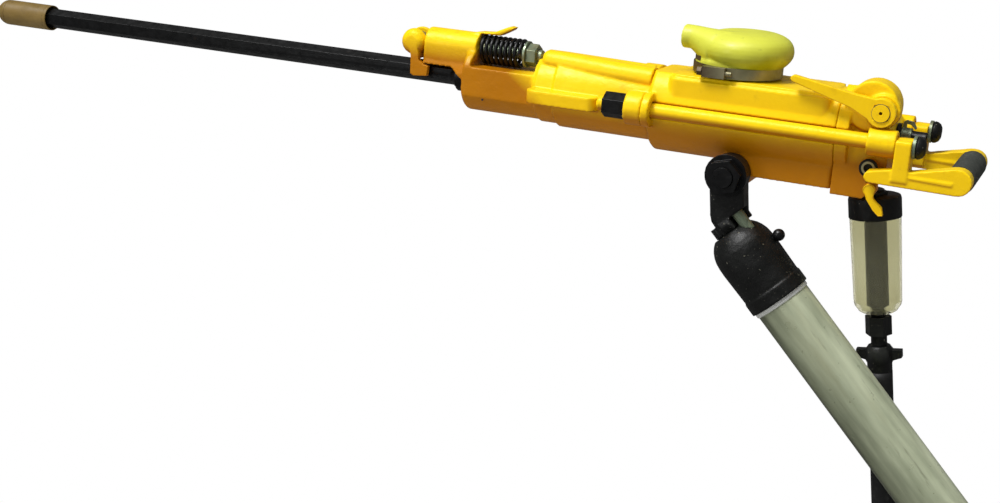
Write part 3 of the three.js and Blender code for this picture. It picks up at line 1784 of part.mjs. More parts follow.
function hangingHose() {
  const outline = circle(0, 0, hoseRadius).map(([x, y]) => new THREE.Vector2(x, y));
  const route = new THREE.CatmullRomCurve3(hosePoints);
  const settings = { steps: hose.steps, extrudePath: route, bevelEnabled: false };
  return solidOf(new THREE.ExtrudeGeometry(new THREE.Shape(outline), settings));
}

// Coil on the floor: one turn and three quarters spiral in, the tube climbs onto them and spirals out,
// and its end sinks in a long S beside the coil until the coupling rests on the floor

function coilPath() {
  const start = hosePoints.at(-1).clone().add(new THREE.Vector3(0, seatGap, 0));
  const layerTurns = coil.turns / 2;
  const outer = coil.radius + (coil.pitch * layerTurns) / 2;
  const middle = new THREE.Vector3(start.x - outer, start.y + hose.diameter, start.z);
  const half = 0.25;
  const climb = coil.pitch - overrun / 2;
  const count = Math.round(coil.turns * coil.steps);
  const up = new THREE.Vector3(0, 0, 1);
  const winding = Array.from({ length: count + 1 }, (_, i) => {
    const turns = i / coil.steps;
    const angle = 2 * Math.PI * turns;
    const radius = outer - coil.pitch * (layerTurns - Math.abs(turns - layerTurns));
    const lift = climb * THREE.MathUtils.smoothstep(turns, layerTurns - half, layerTurns + half);
    const place = new THREE.Vector3(radius * Math.cos(angle), radius * Math.sin(angle), lift);
    return { place: place.add(middle), up };
  });
  const end = winding.at(-1).place;
  const lastAngle = 2 * Math.PI * coil.turns;
  const away = new THREE.Vector3(-Math.sin(lastAngle), Math.cos(lastAngle), 0);
  const sink = climb - endCoupling.tailRadius + hoseRadius;
  const descent = Array.from({ length: coil.steps / 2 }, (_, i) => {
    const share = (2 * (i + 1)) / coil.steps;
    const place = end.clone().addScaledVector(away, coil.descent * share);
    place.z -= sink * THREE.MathUtils.smoothstep(share, 0, 1);
    return { place, up };
  });
  const last = descent.at(-1).place.clone().addScaledVector(away, hose.diameter);
  return [{ place: start, up }, ...winding, ...descent, { place: last, up }];
}

const hoseCoil = coilPath();

// Claw coupling on the hose's far end. Here Z is zero where the hose ends and points on along it.

const couplingFrame = new THREE.Group();
const coilEnd = hoseCoil.at(-1).place;
const coilHeading = coilEnd.clone().sub(hoseCoil.at(-2).place).normalize();
couplingFrame.position.copy(coilEnd);
couplingFrame.quaternion.setFromUnitVectors(new THREE.Vector3(0, 0, 1), coilHeading);
rockDrill.add(couplingFrame);

function clawCoupling() {
  const { radius, tailRadius, length } = endCoupling;
  const body = turned("z", [
    [seatGap, 0],
    [seatGap, tailRadius],
    [length * 0.22, tailRadius],
    [length * 0.3, radius * 0.75],
    [length * 0.5, radius * 0.75],
    [length * 0.62, radius],
    [length, radius],
    [length, 0],
  ]);
  const claws = [-1, 1].map((side) => {
    const [root, tip] = [side * radius * 0.7, side * endCoupling.clawReach];
    const outline = rectangle(Math.min(root, tip), Math.max(root, tip), -radius / 2, radius / 2);
    return slab("z", outline, length - endCoupling.clawLength, length + endCoupling.clawLength / 2);
  });
  const bore = bar("z", endCoupling.bore, length - endCoupling.boreDepth, length + overrun);
  const between = bar("z", radius * 0.7, length, length + endCoupling.clawLength);
  return cut(join(body, ...claws), bore, between);
}

// Pieces of the drill

piece(drillFrame, "drill_rod", drillRod(), blackSteel);
piece(drillFrame, "drill_bit", drillBit(), brightSteel);
piece(drillFrame, "bit_cap", bitCap(), mustardPlastic);
piece(drillFrame, "nose_housing", noseHousing(), yellowPaint);
piece(drillFrame, "chuck", chuckSleeve(), brightSteel);
piece(drillFrame, "guide_bush", guideBush(), bronze);
piece(drillFrame, "cylinder", cylinderCasting(), yellowPaint);
piece(drillFrame, "piston", pistonSolid(), brightSteel);
piece(drillFrame, "rifle_nut", rifleNut(), bronze);
piece(drillFrame, "rifle_bar", rifleBarSolid(), brightSteel);
piece(drillFrame, "ratchet_ring", ratchetRing(), brightSteel);
piece(drillFrame, "valve_chest", valveChest(), brightSteel);
piece(drillFrame, "valve_plate", valvePlate(), brightSteel);
piece(drillFrame, "water_needle", waterNeedle(), brightSteel);
piece(drillFrame, "back_head", backHeadCasting(), yellowPaint);
piece(drillFrame, "throttle_lever", throttleLever(), yellowPaint);
piece(drillFrame, "throttle_valve", throttleSpool(), yellowPaint);
piece(drillFrame, "regulator_valve", regulatorValve(), castBlack);
piece(drillFrame, "water_connector", waterConnector(), blackSteel);
piece(drillFrame, "water_wing_nut", waterWingNut(), zincPlate);
piece(drillFrame, "retainer_bolt", retainerBolt(), zincPlate);
piece(drillFrame, "retainer_fork", retainerFork(), yellowPaint);
piece(drillFrame, "retainer_pin", retainerPin(), blackSteel);
piece(drillFrame, "retainer_washer", retainerWasher(), zincPlate);
piece(
  drillFrame,
  "retainer_nut",
  hexNut("x", retainerNut.flats, retainer.boltRadius + seatGap, nutStart, nutStart + retainerNut.length, [
    0,
    retainer.axisHeight,
  ]),
  zincPlate,
);
const springRoute = springPath();

piece(drillFrame, "retainer_spring", woundTube(springRoute, spring.wire / 2, 5), blackSteel);
for (const [name, side] of [["left", -1], ["right", 1]]) {
  piece(drillFrame, `side_bolt_${name}`, sideBoltSolid(side), yellowPaint);
  piece(drillFrame, `side_nut_${name}`, sideNutSolid(side), blackSteel);
  piece(drillFrame, `rear_nut_${name}`, rearNut(side), castBlack);
  piece(drillFrame, `handle_arm_${name}`, handleArm(side), yellowPaint);
}
piece(drillFrame, "grip_tube", gripTube(), brightSteel);
piece(drillFrame, "grip_sleeve", gripSleeve(), darkRubber);
piece(drillFrame, "trigger", triggerSolid(), yellowPaint);
piece(drillFrame, "exhaust_spigot", exhaustSpigot(), castBlack);
piece(drillFrame, "muffler", mufflerSolid(), limeRubber);
piece(drillFrame, "muffler_clamp", clampBand(), zincPlate);
piece(drillFrame, "clamp_screw", clampScrew(), zincPlate);
piece(drillFrame, "leg_axle", legAxle(), blackSteel);
piece(drillFrame, "leg_axle_nut", legAxleNut(), blackSteel);

// Pieces of the leg

piece(legFrame, "leg_yoke", legYoke(), castBlack);
piece(legFrame, "leg_head", legHead(), castBlack);
piece(legFrame, "leg_swivel_stud", swivelStud(), zincPlate);
piece(legFrame, "leg_vent_knob", ventKnob(), blackSteel);
piece(legFrame, "leg_outer_tube", outerTube(), tubeAlloy);
piece(legFrame, "leg_guide_collar", guideCollar(), castBlack);
piece(legFrame, "leg_inner_tube", innerTube(), brightSteel);
piece(legFrame, "leg_piston", legPiston(), darkRubber);
piece(legFrame, "leg_foot", legFoot(), castBlack);

// Pieces of the oiler

piece(oilerFrame, "oiler_fitting", oilerFitting(), castBlack);
piece(oilerFrame, "oiler_cap", oilerCap(), castBlack);
piece(oilerFrame, "oiler_bottle", oilerBottle(), oilPlastic);
piece(oilerFrame, "oiler_union", oilerUnion(), castBlack);
piece(oilerFrame, "hose_coupling", wingCoupling(), castBlack);

// Pieces of the hose

piece(rockDrill, "air_hose", hangingHose(), hoseRubber);
piece(rockDrill, "air_hose_coil", woundTube(hoseCoil, hoseRadius, coil.sides), hoseRubber);
piece(couplingFrame, "hose_end_coupling", clawCoupling(), castBlack);

const pathLength = (places) =>
  places.slice(1).reduce((sum, place, i) => sum + place.distanceTo(places[i]), 0);
const wholeHose = pathLength(hosePoints) + pathLength(hoseCoil.map((point) => point.place));
console.log(`length of the hose: ${wholeHose.toFixed(0)} mm`);
console.log(`least gap in the hose's coil: ${leastSelfGap(hoseCoil, hoseRadius, coil.steps).toFixed(2)} mm`);
const springGap = leastSelfGap(springRoute, spring.wire / 2, 8);
console.log(`least gap between the spring's curls: ${springGap.toFixed(2)} mm`);

export default rockDrill;
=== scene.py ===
"""Pneumatic rock drill on its air leg: camera, light, hose, finished castings and all surface materials."""

import json
import math

import bmesh
import bpy
from mathutils import Matrix, Vector


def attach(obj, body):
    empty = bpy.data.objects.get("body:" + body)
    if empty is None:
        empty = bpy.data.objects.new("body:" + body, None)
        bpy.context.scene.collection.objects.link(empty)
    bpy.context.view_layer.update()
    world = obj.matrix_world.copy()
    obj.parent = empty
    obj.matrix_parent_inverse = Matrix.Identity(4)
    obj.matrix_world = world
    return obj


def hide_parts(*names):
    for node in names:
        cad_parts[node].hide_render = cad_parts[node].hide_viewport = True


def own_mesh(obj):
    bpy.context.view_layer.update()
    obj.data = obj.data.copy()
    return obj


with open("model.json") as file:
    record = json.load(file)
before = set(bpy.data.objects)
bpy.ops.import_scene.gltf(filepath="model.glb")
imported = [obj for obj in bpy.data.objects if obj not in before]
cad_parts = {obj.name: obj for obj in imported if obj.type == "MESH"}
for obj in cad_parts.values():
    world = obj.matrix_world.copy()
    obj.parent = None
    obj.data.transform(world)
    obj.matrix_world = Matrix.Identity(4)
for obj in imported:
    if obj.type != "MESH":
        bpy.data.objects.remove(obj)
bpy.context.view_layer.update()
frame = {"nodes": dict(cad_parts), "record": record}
nodes = frame["nodes"]
scene = bpy.context.scene

# Frames, in metres: the drill's is tilted nose up, the leg's X runs down the leg, and the oiler hangs plumb

NOSE_UP = math.radians(9.3)
LEG_TURN = math.radians(45.9)
GRIP = Vector((0.656, 0, -0.031))
PIVOT = Vector((0.389, 0, -0.06398))
OILER_TOP = Vector((0.5495, 0.028, -0.072))

DRILL = Matrix.Rotation(NOSE_UP, 4, "Y") @ Matrix.Translation(-GRIP)
LEG = DRILL @ Matrix.Translation(PIVOT) @ Matrix.Rotation(LEG_TURN, 4, "Y")
OILER = DRILL @ Matrix.Translation(OILER_TOP) @ Matrix.Rotation(-NOSE_UP, 4, "Y")


def new_object(name, data):
    obj = bpy.data.objects.new(name, data)
    scene.collection.objects.link(obj)
    return obj


# Camera

CAMERA_PLACE = (0.2310, -1.7914, 0.3175)
CAMERA_RIGHT = Vector((0.9100, 0.4066, -0.0813))
CAMERA_UP = Vector((-0.0125, 0.2229, 0.9748))
CAMERA_LENS = 54
SENSOR_WIDTH = 36
CLIP_END = 200


def make_camera():
    data = bpy.data.cameras.new("camera")
    data.lens = CAMERA_LENS
    data.sensor_width = SENSOR_WIDTH
    data.clip_end = CLIP_END
    camera = new_object("camera", data)
    back = CAMERA_RIGHT.cross(CAMERA_UP).normalized()
    up = back.cross(CAMERA_RIGHT).normalized()
    right = up.cross(back)
    turn = Matrix((right, up, back)).transposed().to_4x4()
    camera.matrix_world = Matrix.Translation(CAMERA_PLACE) @ turn
    scene.camera = camera


make_camera()

# Light

FLOOR_LEVEL = -1.3890
FLOOR_REACH = 60
WORLD_STRENGTH = 0.2
GLOSS_STRENGTH = 0.12
SUN_STRENGTH = 2.5
SUN_SPREAD = math.radians(18)
SUN_FROM = Vector((-0.3, -0.6, 1.2))
LIT_PLACE = Vector((0.35, 0, 0))
SOFTBOXES = [
    {"name": "softbox_top", "place": (-0.3, -0.4, 1.5), "size": (1.6, 0.5), "power": 9},
    {"name": "softbox_side", "place": (-1.3, -1.6, 0.7), "size": (0.5, 0.9), "power": 5},
]


def face_along(obj, place, direction):
    obj.matrix_world = Matrix.Translation(place) @ direction.to_track_quat("-Z", "Y").to_matrix().to_4x4()


def make_lights():
    scene.view_settings.view_transform = "Standard"
    sun = bpy.data.lights.new("sun", "SUN")
    sun.energy = SUN_STRENGTH
    sun.angle = SUN_SPREAD
    face_along(new_object("sun", sun), SUN_FROM * 3, -SUN_FROM)
    for softbox in SOFTBOXES:
        data = bpy.data.lights.new(softbox["name"], "AREA")
        data.shape = "RECTANGLE"
        data.size, data.size_y = softbox["size"]
        data.energy = softbox["power"]
        place = Vector(softbox["place"])
        face_along(new_object(softbox["name"], data), place, DRILL @ LIT_PLACE - place)


def white_light(tree, kind, strength):
    made = tree.nodes.new("ShaderNode" + kind)
    made.inputs["Color"].default_value = (1, 1, 1, 1)
    made.inputs["Strength"].default_value = strength
    return made.outputs[0]


def mixed(tree, amount, first, second):
    made = tree.nodes.new("ShaderNodeMixShader")
    for socket, source in zip(made.inputs, (amount, first, second)):
        tree.links.new(source, socket)
    return made.outputs[0]


def surroundings(tree, kind, plain):
    """Plain as light, dim in reflections, and white to the camera and through clear plastic."""
    path = tree.nodes.new("ShaderNodeLightPath")
    clear = tree.nodes.new("ShaderNodeMath")
    clear.operation = "MAXIMUM"
    tree.links.new(path.outputs["Is Camera Ray"], clear.inputs[0])
    tree.links.new(path.outputs["Is Transmission Ray"], clear.inputs[1])
    lit = mixed(tree, path.outputs["Is Glossy Ray"], plain, white_light(tree, kind, GLOSS_STRENGTH))
    return mixed(tree, clear.outputs[0], lit, white_light(tree, kind, 1))


def make_world():
    world = bpy.data.worlds.new("world")
    scene.world = world
    world.use_nodes = True
    tree = world.node_tree
    tree.nodes.clear()
    out = tree.nodes.new("ShaderNodeOutputWorld")
    shader = surroundings(tree, "Background", white_light(tree, "Background", WORLD_STRENGTH))
    tree.links.new(shader, out.inputs["Surface"])


make_lights()
make_world()

# Materials


class Surface:
    """A material under construction: a Principled shader and short ways to feed it."""

    def __init__(self, name, roughness=0.5, metallic=0.0, **numbers):
        self.material = bpy.data.materials.new(name)
        self.material.use_nodes = True
        self.tree = self.material.node_tree
        self.shader = self.tree.nodes["Principled BSDF"]
        self.shader.inputs["Roughness"].default_value = roughness
        self.shader.inputs["Metallic"].default_value = metallic
        for socket, value in numbers.items():
            self.shader.inputs[socket.replace("_", " ")].default_value = value
        coordinates = self.node("TexCoord")
        self.place = coordinates.outputs["Object"]
        self.flat = coordinates.outputs["UV"]

    def node(self, kind, **settings):
        made = self.tree.nodes.new("ShaderNode" + kind)
        for key, value in settings.items():
            setattr(made, key, value)
        return made

    def feed(self, socket, value):
        """Sets a socket to a number or a colour, or links it."""
        if isinstance(value, tuple):
            socket.default_value = (*value, 1)
        elif isinstance(value, (int, float)):
            socket.default_value = value
        else:
            self.tree.links.new(value, socket)

    def noise(self, scale, detail=3.0, stretch=None, place=None):
        """Noise from 0 to 1; scale is the number of cells in a metre."""
        source = place or self.place
        if stretch:
            mapping = self.node("Mapping")
            self.tree.links.new(source, mapping.inputs["Vector"])
            mapping.inputs["Scale"].default_value = stretch
            source = mapping.outputs["Vector"]
        made = self.node("TexNoise")
        self.tree.links.new(source, made.inputs["Vector"])
        made.inputs["Scale"].default_value = scale
        made.inputs["Detail"].default_value = detail
        return made.outputs["Fac"]

    def range(self, value, from_low, from_high, to_low=0.0, to_high=1.0):
        made = self.node("MapRange")
        self.feed(made.inputs["Value"], value)
        limits = {"From Min": from_low, "From Max": from_high, "To Min": to_low, "To Max": to_high}
        for socket, number in limits.items():
            made.inputs[socket].default_value = number
        return made.outputs["Result"]

    def math(self, operation, *values):
        made = self.node("Math", operation=operation)
        for socket, value in zip(made.inputs, values):
            self.feed(socket, value)
        return made.outputs[0]

    def blend(self, amount, first, second):
        made = self.node("Mix", data_type="RGBA")
        self.feed(made.inputs["Factor"], amount)
        self.feed(made.inputs["A"], first)
        self.feed(made.inputs["B"], second)
        return made.outputs["Result"]

    def parts_of(self, vector):
        """The X, Y and Z of a vector."""
        split = self.node("SeparateXYZ")
        self.tree.links.new(vector, split.inputs[0])
        return split.outputs

    def facing_up(self, low, high):
        """From 0 on undersides to 1 on top faces, between two heights of the surface normal."""
        return self.range(self.parts_of(self.node("NewGeometry").outputs["Normal"])["Z"], low, high)

    def worn_edges(self, low, high):
        """From 0 on flat faces to 1 on sharp outer edges."""
        return self.range(self.node("NewGeometry").outputs["Pointiness"], low, high)

    def patches(self, scale, low, high, most=1.0, detail=6, place=None):
        """Patches that begin where the noise passes low and reach their most at high."""
        return self.range(self.noise(scale, detail, place=place), low, high, 0, most)

    def colour(self, value):
        self.feed(self.shader.inputs["Base Color"], value)

    def uneven_gloss(self, scale, smooth, rough, detail=4):
        """Roughness that wanders between two values."""
        roughness = self.range(self.noise(scale, detail), 0.3, 0.7, smooth, rough)
        self.feed(self.shader.inputs["Roughness"], roughness)

    def bump(self, *layers):
        """Each layer is (height from 0 to 1, depth in metres)."""
        normal = None
        for height, depth in layers:
            made = self.node("Bump")
            made.inputs["Distance"].default_value = depth
            self.feed(made.inputs["Height"], height)
            if normal:
                self.tree.links.new(normal, made.inputs["Normal"])
            normal = made.outputs["Normal"]
        self.tree.links.new(normal, self.shader.inputs["Normal"])


# Where the painted shade low on the castings' sides fades out, in metres: its heights along the drill's axis,
# the stations between which it is raised towards the nose, and those at the cylinder's front, behind which it
# is raised too

SHADE_FADE_HEIGHTS = (-0.004, 0.022)
NOSE_SHADE_STATIONS = (-0.580, -0.500)
NOSE_SHADE_RISE = 0.062
CYLINDER_STATIONS = (-0.392, -0.376)
CYLINDER_SHADE_RISE = 0.010
SHADE_RAGGEDNESS = 0.012


def yellow_enamel(name, low_shade):
    """Glossy enamel with painted shade, browner on its undersides; on the big castings, painted shade also
    browns them low on their sides.
    """
    s = Surface(name, Specular_IOR_Level=0.35, Specular_Tint=(1, 0.86, 0.45, 1))
    # Painted shade: faces turned down take the shaded brown
    up = s.facing_up(-0.55, 0.12)
    # Painted shade low on the sides, by height, raised towards the nose and behind the cylinder's front
    if low_shade:
        place = s.parts_of(s.place)
        cosine, sine = math.cos(NOSE_UP), math.sin(NOSE_UP)
        height = s.math("MULTIPLY_ADD", place["Z"], cosine, s.math("MULTIPLY", place["X"], sine))
        station = s.math("MULTIPLY_ADD", place["X"], cosine, s.math("MULTIPLY", place["Z"], -sine))
        nose_share = s.range(station, *NOSE_SHADE_STATIONS, 1, 0)
        rear_share = s.range(station, *CYLINDER_STATIONS)
        lowered = s.math("MULTIPLY_ADD", rear_share, -CYLINDER_SHADE_RISE, height)
        level = s.math("MULTIPLY_ADD", nose_share, -NOSE_SHADE_RISE, lowered)
        ragged = s.math("MULTIPLY_ADD", s.noise(16), SHADE_RAGGEDNESS, level)
        up = s.math("MULTIPLY", up, s.range(ragged, *SHADE_FADE_HEIGHTS))
    # Lit and shaded copies of the yellow, blended by the painted shade mask
    lit = s.blend(s.noise(9), (0.98, 0.61, 0.003), (1.0, 0.70, 0.006))
    shade = s.blend(s.noise(14), (0.40, 0.135, 0.001), (0.52, 0.19, 0.001))
    paint = s.blend(up, shade, lit)
    soiled = s.blend(s.patches(55, 0.62, 0.8, 0.35), paint, (0.38, 0.15, 0.005))
    chips = s.math("MULTIPLY", s.worn_edges(0.56, 0.62), s.patches(160, 0.58, 0.64, detail=5))
    s.colour(s.blend(chips, soiled, (0.08, 0.05, 0.02)))
    s.uneven_gloss(70, 0.28, 0.44)
    s.bump((s.noise(900, 2), 0.0001), (s.noise(120, 4), 0.0005), (s.noise(28, 2), 0.0010))
    return s.material


def blackened_steel():
    s = Surface("blackened_steel", roughness=0.34, metallic=0.15, Specular_IOR_Level=0.45)
    base = s.blend(s.noise(40, 5), (0.0015, 0.0016, 0.0017), (0.005, 0.0053, 0.0056))
    rusty = s.blend(s.patches(90, 0.68, 0.82, 0.5), base, (0.035, 0.02, 0.012))
    s.colour(s.blend(s.math("MULTIPLY", s.worn_edges(0.56, 0.66), 0.5), rusty, (0.2, 0.2, 0.2)))
    s.uneven_gloss(130, 0.26, 0.46)
    s.bump((s.noise(700, 3), 0.0001), (s.noise(150, 3), 0.0003))
    return s.material


def black_casting():
    s = Surface("black_casting", roughness=0.5, Specular_IOR_Level=0.4)
    base = s.blend(s.noise(30, 4), (0.0018, 0.002, 0.0018), (0.008, 0.009, 0.008))
    speckled = s.blend(s.patches(330, 0.7, 0.76, detail=2), base, (0.20, 0.19, 0.14))
    s.colour(s.blend(s.math("MULTIPLY", s.worn_edges(0.55, 0.63), 0.5), speckled, (0.14, 0.15, 0.13)))
    s.uneven_gloss(60, 0.34, 0.56)
    s.bump((s.noise(1100, 2), 0.0002), (s.noise(170, 3), 0.0006))
    return s.material


def zinc_plating():
    s = Surface("zinc_plating", roughness=0.36, metallic=0.55)
    base = s.blend(s.noise(60, 5), (0.15, 0.20, 0.13), (0.30, 0.36, 0.25))
    tinted = s.blend(s.patches(35, 0.5, 0.75, detail=3), base, (0.30, 0.27, 0.14))
    s.colour(s.blend(s.patches(140, 0.6, 0.78, 0.8), tinted, (0.05, 0.055, 0.04)))
    s.uneven_gloss(200, 0.28, 0.5)
    s.bump((s.noise(500, 3), 0.0001))
    return s.material


BROWN_STATIONS = (-0.285, -0.235)


def aged_plating():
    """Plating gone brown on the front of the band, cleaner to the rear."""
    s = Surface("aged_plating", roughness=0.4, metallic=0.5)
    rearward = s.math("MULTIPLY_ADD", s.noise(60, 4), 0.02, s.parts_of(s.place)["X"])
    cleaner = s.range(rearward, *BROWN_STATIONS)
    brown = s.blend(s.noise(90, 5), (0.035, 0.022, 0.012), (0.13, 0.09, 0.045))
    olive = s.blend(s.noise(70, 5), (0.20, 0.19, 0.09), (0.46, 0.43, 0.26))
    s.colour(s.blend(cleaner, brown, olive))
    s.uneven_gloss(200, 0.3, 0.55)
    s.bump((s.noise(500, 3), 0.0001))
    return s.material


def machined_steel():
    s = Surface("machined_steel", roughness=0.3, metallic=1.0)
    s.colour(s.blend(s.noise(50, 4), (0.42, 0.43, 0.43), (0.62, 0.62, 0.60)))
    s.uneven_gloss(300, 0.22, 0.4)
    s.bump((s.noise(900, 2), 0.00005))
    return s.material


def bronze():
    s = Surface("bronze", roughness=0.32, metallic=1.0)
    s.colour(s.blend(s.noise(60, 4), (0.5, 0.33, 0.12), (0.64, 0.45, 0.2)))
    s.uneven_gloss(200, 0.25, 0.42)
    s.bump((s.noise(800, 2), 0.00006))
    return s.material


def drawn_tube():
    """Dull aluminium with draw marks along the leg, and painted shade that darkens it below."""
    s = Surface("drawn_tube", roughness=0.36, metallic=0.25)
    lay = s.node("Mapping", vector_type="TEXTURE")
    s.tree.links.new(s.place, lay.inputs["Vector"])
    lay.inputs["Rotation"].default_value = (0, NOSE_UP + LEG_TURN, 0)
    lay.inputs["Scale"].default_value = (7, 1, 1)
    along = lay.outputs["Vector"]
    streaks = s.range(s.noise(60, 5, place=along), 0.35, 0.65)
    base = s.blend(streaks, (0.46, 0.51, 0.34), (0.74, 0.80, 0.56))
    warm = s.blend(s.patches(24, 0.5, 0.7, 0.6, 4, along), base, (0.50, 0.48, 0.28))
    # Painted shade: a darker copy of the streaked tube for faces turned down
    below = s.blend(streaks, (0.09, 0.10, 0.06), (0.18, 0.20, 0.12))
    shaded = s.blend(s.facing_up(-0.45, 0.55), below, warm)
    s.colour(s.blend(s.patches(150, 0.64, 0.78, 0.6, 6, along), shaded, (0.12, 0.12, 0.07)))
    s.uneven_gloss(80, 0.26, 0.52, detail=5)
    s.bump((s.noise(420, 4), 0.00012))
    return s.material


def bright_ring():
    s = Surface("bright_ring", roughness=0.25, metallic=0.4)
    s.colour(s.blend(s.noise(90, 4), (0.62, 0.64, 0.58), (0.95, 0.95, 0.92)))
    s.uneven_gloss(200, 0.2, 0.34)
    s.bump((s.noise(700, 2), 0.00008))
    return s.material


def lime_rubber():
    s = Surface("lime_rubber", roughness=0.42, Specular_IOR_Level=0.4)
    # Painted shade and painted sheen: undersides take a dark olive, and top faces a lighter, whiter lime
    up = s.facing_up(-0.4, 0.6)
    base = s.blend(up, (0.34, 0.33, 0.002), (0.68, 0.70, 0.07))
    cloudy = s.blend(s.patches(24, 0.4, 0.7, 0.5, detail=4), base, (0.72, 0.74, 0.07))
    s.colour(s.blend(s.patches(95, 0.64, 0.8, 0.55), cloudy, (0.22, 0.25, 0.04)))
    s.uneven_gloss(60, 0.34, 0.52)
    s.bump((s.noise(600, 2), 0.0001), (s.noise(50, 3), 0.0008))
    return s.material


def dark_rubber():
    s = Surface("dark_rubber", roughness=0.7)
    base = s.blend(s.noise(45, 4), (0.022, 0.026, 0.022), (0.055, 0.06, 0.05))
    s.colour(s.blend(s.patches(260, 0.58, 0.8, 0.5, detail=5), base, (0.20, 0.21, 0.18)))
    s.uneven_gloss(110, 0.55, 0.8)
    s.bump((s.noise(900, 2), 0.0002))
    return s.material


def mustard_plastic():
    s = Surface("mustard_plastic", roughness=0.45)
    base = s.blend(s.noise(38, 4), (0.14, 0.085, 0.016), (0.26, 0.17, 0.045))
    s.colour(s.blend(s.patches(170, 0.6, 0.8, 0.6), base, (0.09, 0.055, 0.02)))
    s.uneven_gloss(70, 0.36, 0.6)
    s.bump((s.noise(500, 3), 0.0001), (s.noise(60, 2), 0.0004))
    return s.material


def oil_stained_plastic():
    s = Surface("oil_stained_plastic", roughness=0.3, Transmission_Weight=0.93, IOR=1.12)
    base = s.blend(s.noise(14, 4), (0.60, 0.58, 0.40), (0.75, 0.74, 0.58))
    streaks = s.range(s.noise(50, 6, (1, 1, 0.2)), 0.58, 0.8, 0, 0.5)
    s.colour(s.blend(streaks, base, (0.45, 0.43, 0.25)))
    s.uneven_gloss(40, 0.06, 0.2)
    s.bump((s.noise(300, 3), 0.00005), (s.noise(30, 2), 0.0004))
    return s.material


def hose_cover():
    """Black rubber that carries the print of its cloth wrapping; UV runs round and along the hose."""
    s = Surface("hose_cover", roughness=0.62)
    base = s.blend(s.noise(30, 4), (0.004, 0.0042, 0.0045), (0.014, 0.0145, 0.015))
    s.colour(s.blend(s.patches(120, 0.55, 0.8, 0.45), base, (0.06, 0.06, 0.055)))
    s.uneven_gloss(90, 0.5, 0.75)
    wrap = s.node("TexWave", bands_direction="DIAGONAL")
    s.tree.links.new(s.flat, wrap.inputs["Vector"])
    wrap.inputs["Scale"].default_value = 34
    wrap.inputs["Distortion"].default_value = 0.6
    weave = s.noise(1500, 1)
    s.bump((weave, 0.0001), (wrap.outputs["Fac"], 0.0004))
    return s.material


# The big castings' yellow, with painted shade low on their sides as well as on their undersides
LOW_SHADED_YELLOW = yellow_enamel("low_shaded_yellow_enamel", low_shade=True)
AGED = aged_plating()
BRIGHT = bright_ring()

SLOT_MATERIALS = {
    "yellow_paint": yellow_enamel("yellow_enamel", low_shade=False),
    "black_steel": blackened_steel(),
    "machined_steel": machined_steel(),
    "bronze": bronze(),
    "mustard_plastic": mustard_plastic(),
    "plated_steel": zinc_plating(),
    "dark_casting": black_casting(),
    "tube_alloy": drawn_tube(),
    "lime_rubber": lime_rubber(),
    "dark_rubber": dark_rubber(),
    "hose_rubber": hose_cover(),
    "oil_plastic": oil_stained_plastic(),
}
SLOT_OF = {part["node"]: part["material_slot"] for part in frame["record"]["subparts"]}
BODIES = frame["record"]["behaviour"]["bodies"]
BODY_OF = {node: body for body, members in BODIES.items() for node in members}


def paint_cad_nodes():
    for name, obj in nodes.items():
        for place in obj.material_slots:
            place.link = "OBJECT"
            place.material = SLOT_MATERIALS[SLOT_OF[name]]


paint_cad_nodes()

# Meshes

SMALL_ROUND = 48
PLAIN_ROUND = 72
FINE_ROUND = 96
FINEST_ROUND = 120
LEG_ROUND = 128
CREASE = 38
FINE_EDGE = 0.0004
TRIM_EDGE = 0.0002


def add_object(name, mesh, body, slot, material=None):
    """A piece of the visual model that moves with a body, in its slot's material if no other is given."""
    obj = new_object(name, mesh)
    mesh.materials.clear()
    mesh.materials.append(material or SLOT_MATERIALS[slot])
    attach(obj, body)
    return obj


def stand_in(mesh, *replaced, name=None, material=None):
    """An object in place of CAD nodes, with the body and slot of the first one."""
    node = replaced[0]
    made = add_object(name or node + "_piece", mesh, BODY_OF[node], SLOT_OF[node], material)
    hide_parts(*replaced)
    return made


def baked(obj):
    """The object with its modifiers applied to its mesh."""
    bpy.context.view_layer.update()
    mesh = bpy.data.meshes.new_from_object(obj.evaluated_get(bpy.context.evaluated_depsgraph_get()))
    obj.modifiers.clear()
    obj.data = mesh
    return obj


def smooth_faces(mesh, crease=CREASE):
    """Round faces shade smoothly and edges past the crease angle stay sharp."""
    build = bmesh.new()
    build.from_mesh(mesh)
    bmesh.ops.remove_doubles(build, verts=build.verts, dist=1e-6)
    limit = math.radians(crease)
    for face in build.faces:
        face.smooth = True
    for line in build.edges:
        line.smooth = len(line.link_faces) == 2 and line.calc_face_angle() < limit
    build.to_mesh(mesh)
    build.free()


def bevel_edges(obj, width, crease=CREASE):
    bevel = obj.modifiers.new("edges", "BEVEL")
    bevel.width = width
    bevel.segments = 2
    bevel.limit_method = "ANGLE"
    bevel.angle_limit = math.radians(crease)
    bevel.harden_normals = True
    return baked(obj)


def mesh_of(corners, faces):
    """A mesh in the shared frame from corners in metres, with its faces turned outwards."""
    mesh = bpy.data.meshes.new("part")
    build = bmesh.new()
    placed = [build.verts.new(corner) for corner in corners]
    for face in faces:
        build.faces.new([placed[i] for i in face])
    bmesh.ops.recalc_face_normals(build, faces=build.faces)
    build.to_mesh(mesh)
    build.free()
    return mesh


def mm(space, x, y, z):
    return space @ Vector((x / 1000, y / 1000, z / 1000))


def placed_on(axis, station, a, b):
    """The x, y and z of a station along an axis with two more places across it."""
    return {"x": (station, a, b), "y": (a, station, b), "z": (a, b, station)}[axis]


def band(low, high):
    """The faces between two rings of corners, either of which may be one corner."""
    after_low, after_high = low[1:] + low[:1], high[1:] + high[:1]
    if len(low) == 1:
        return [(low[0], b, a) for a, b in zip(high, after_high)]
    if len(high) == 1:
        return [(a, b, high[0]) for a, b in zip(low, after_low)]
    return list(zip(low, after_low, after_high, high))


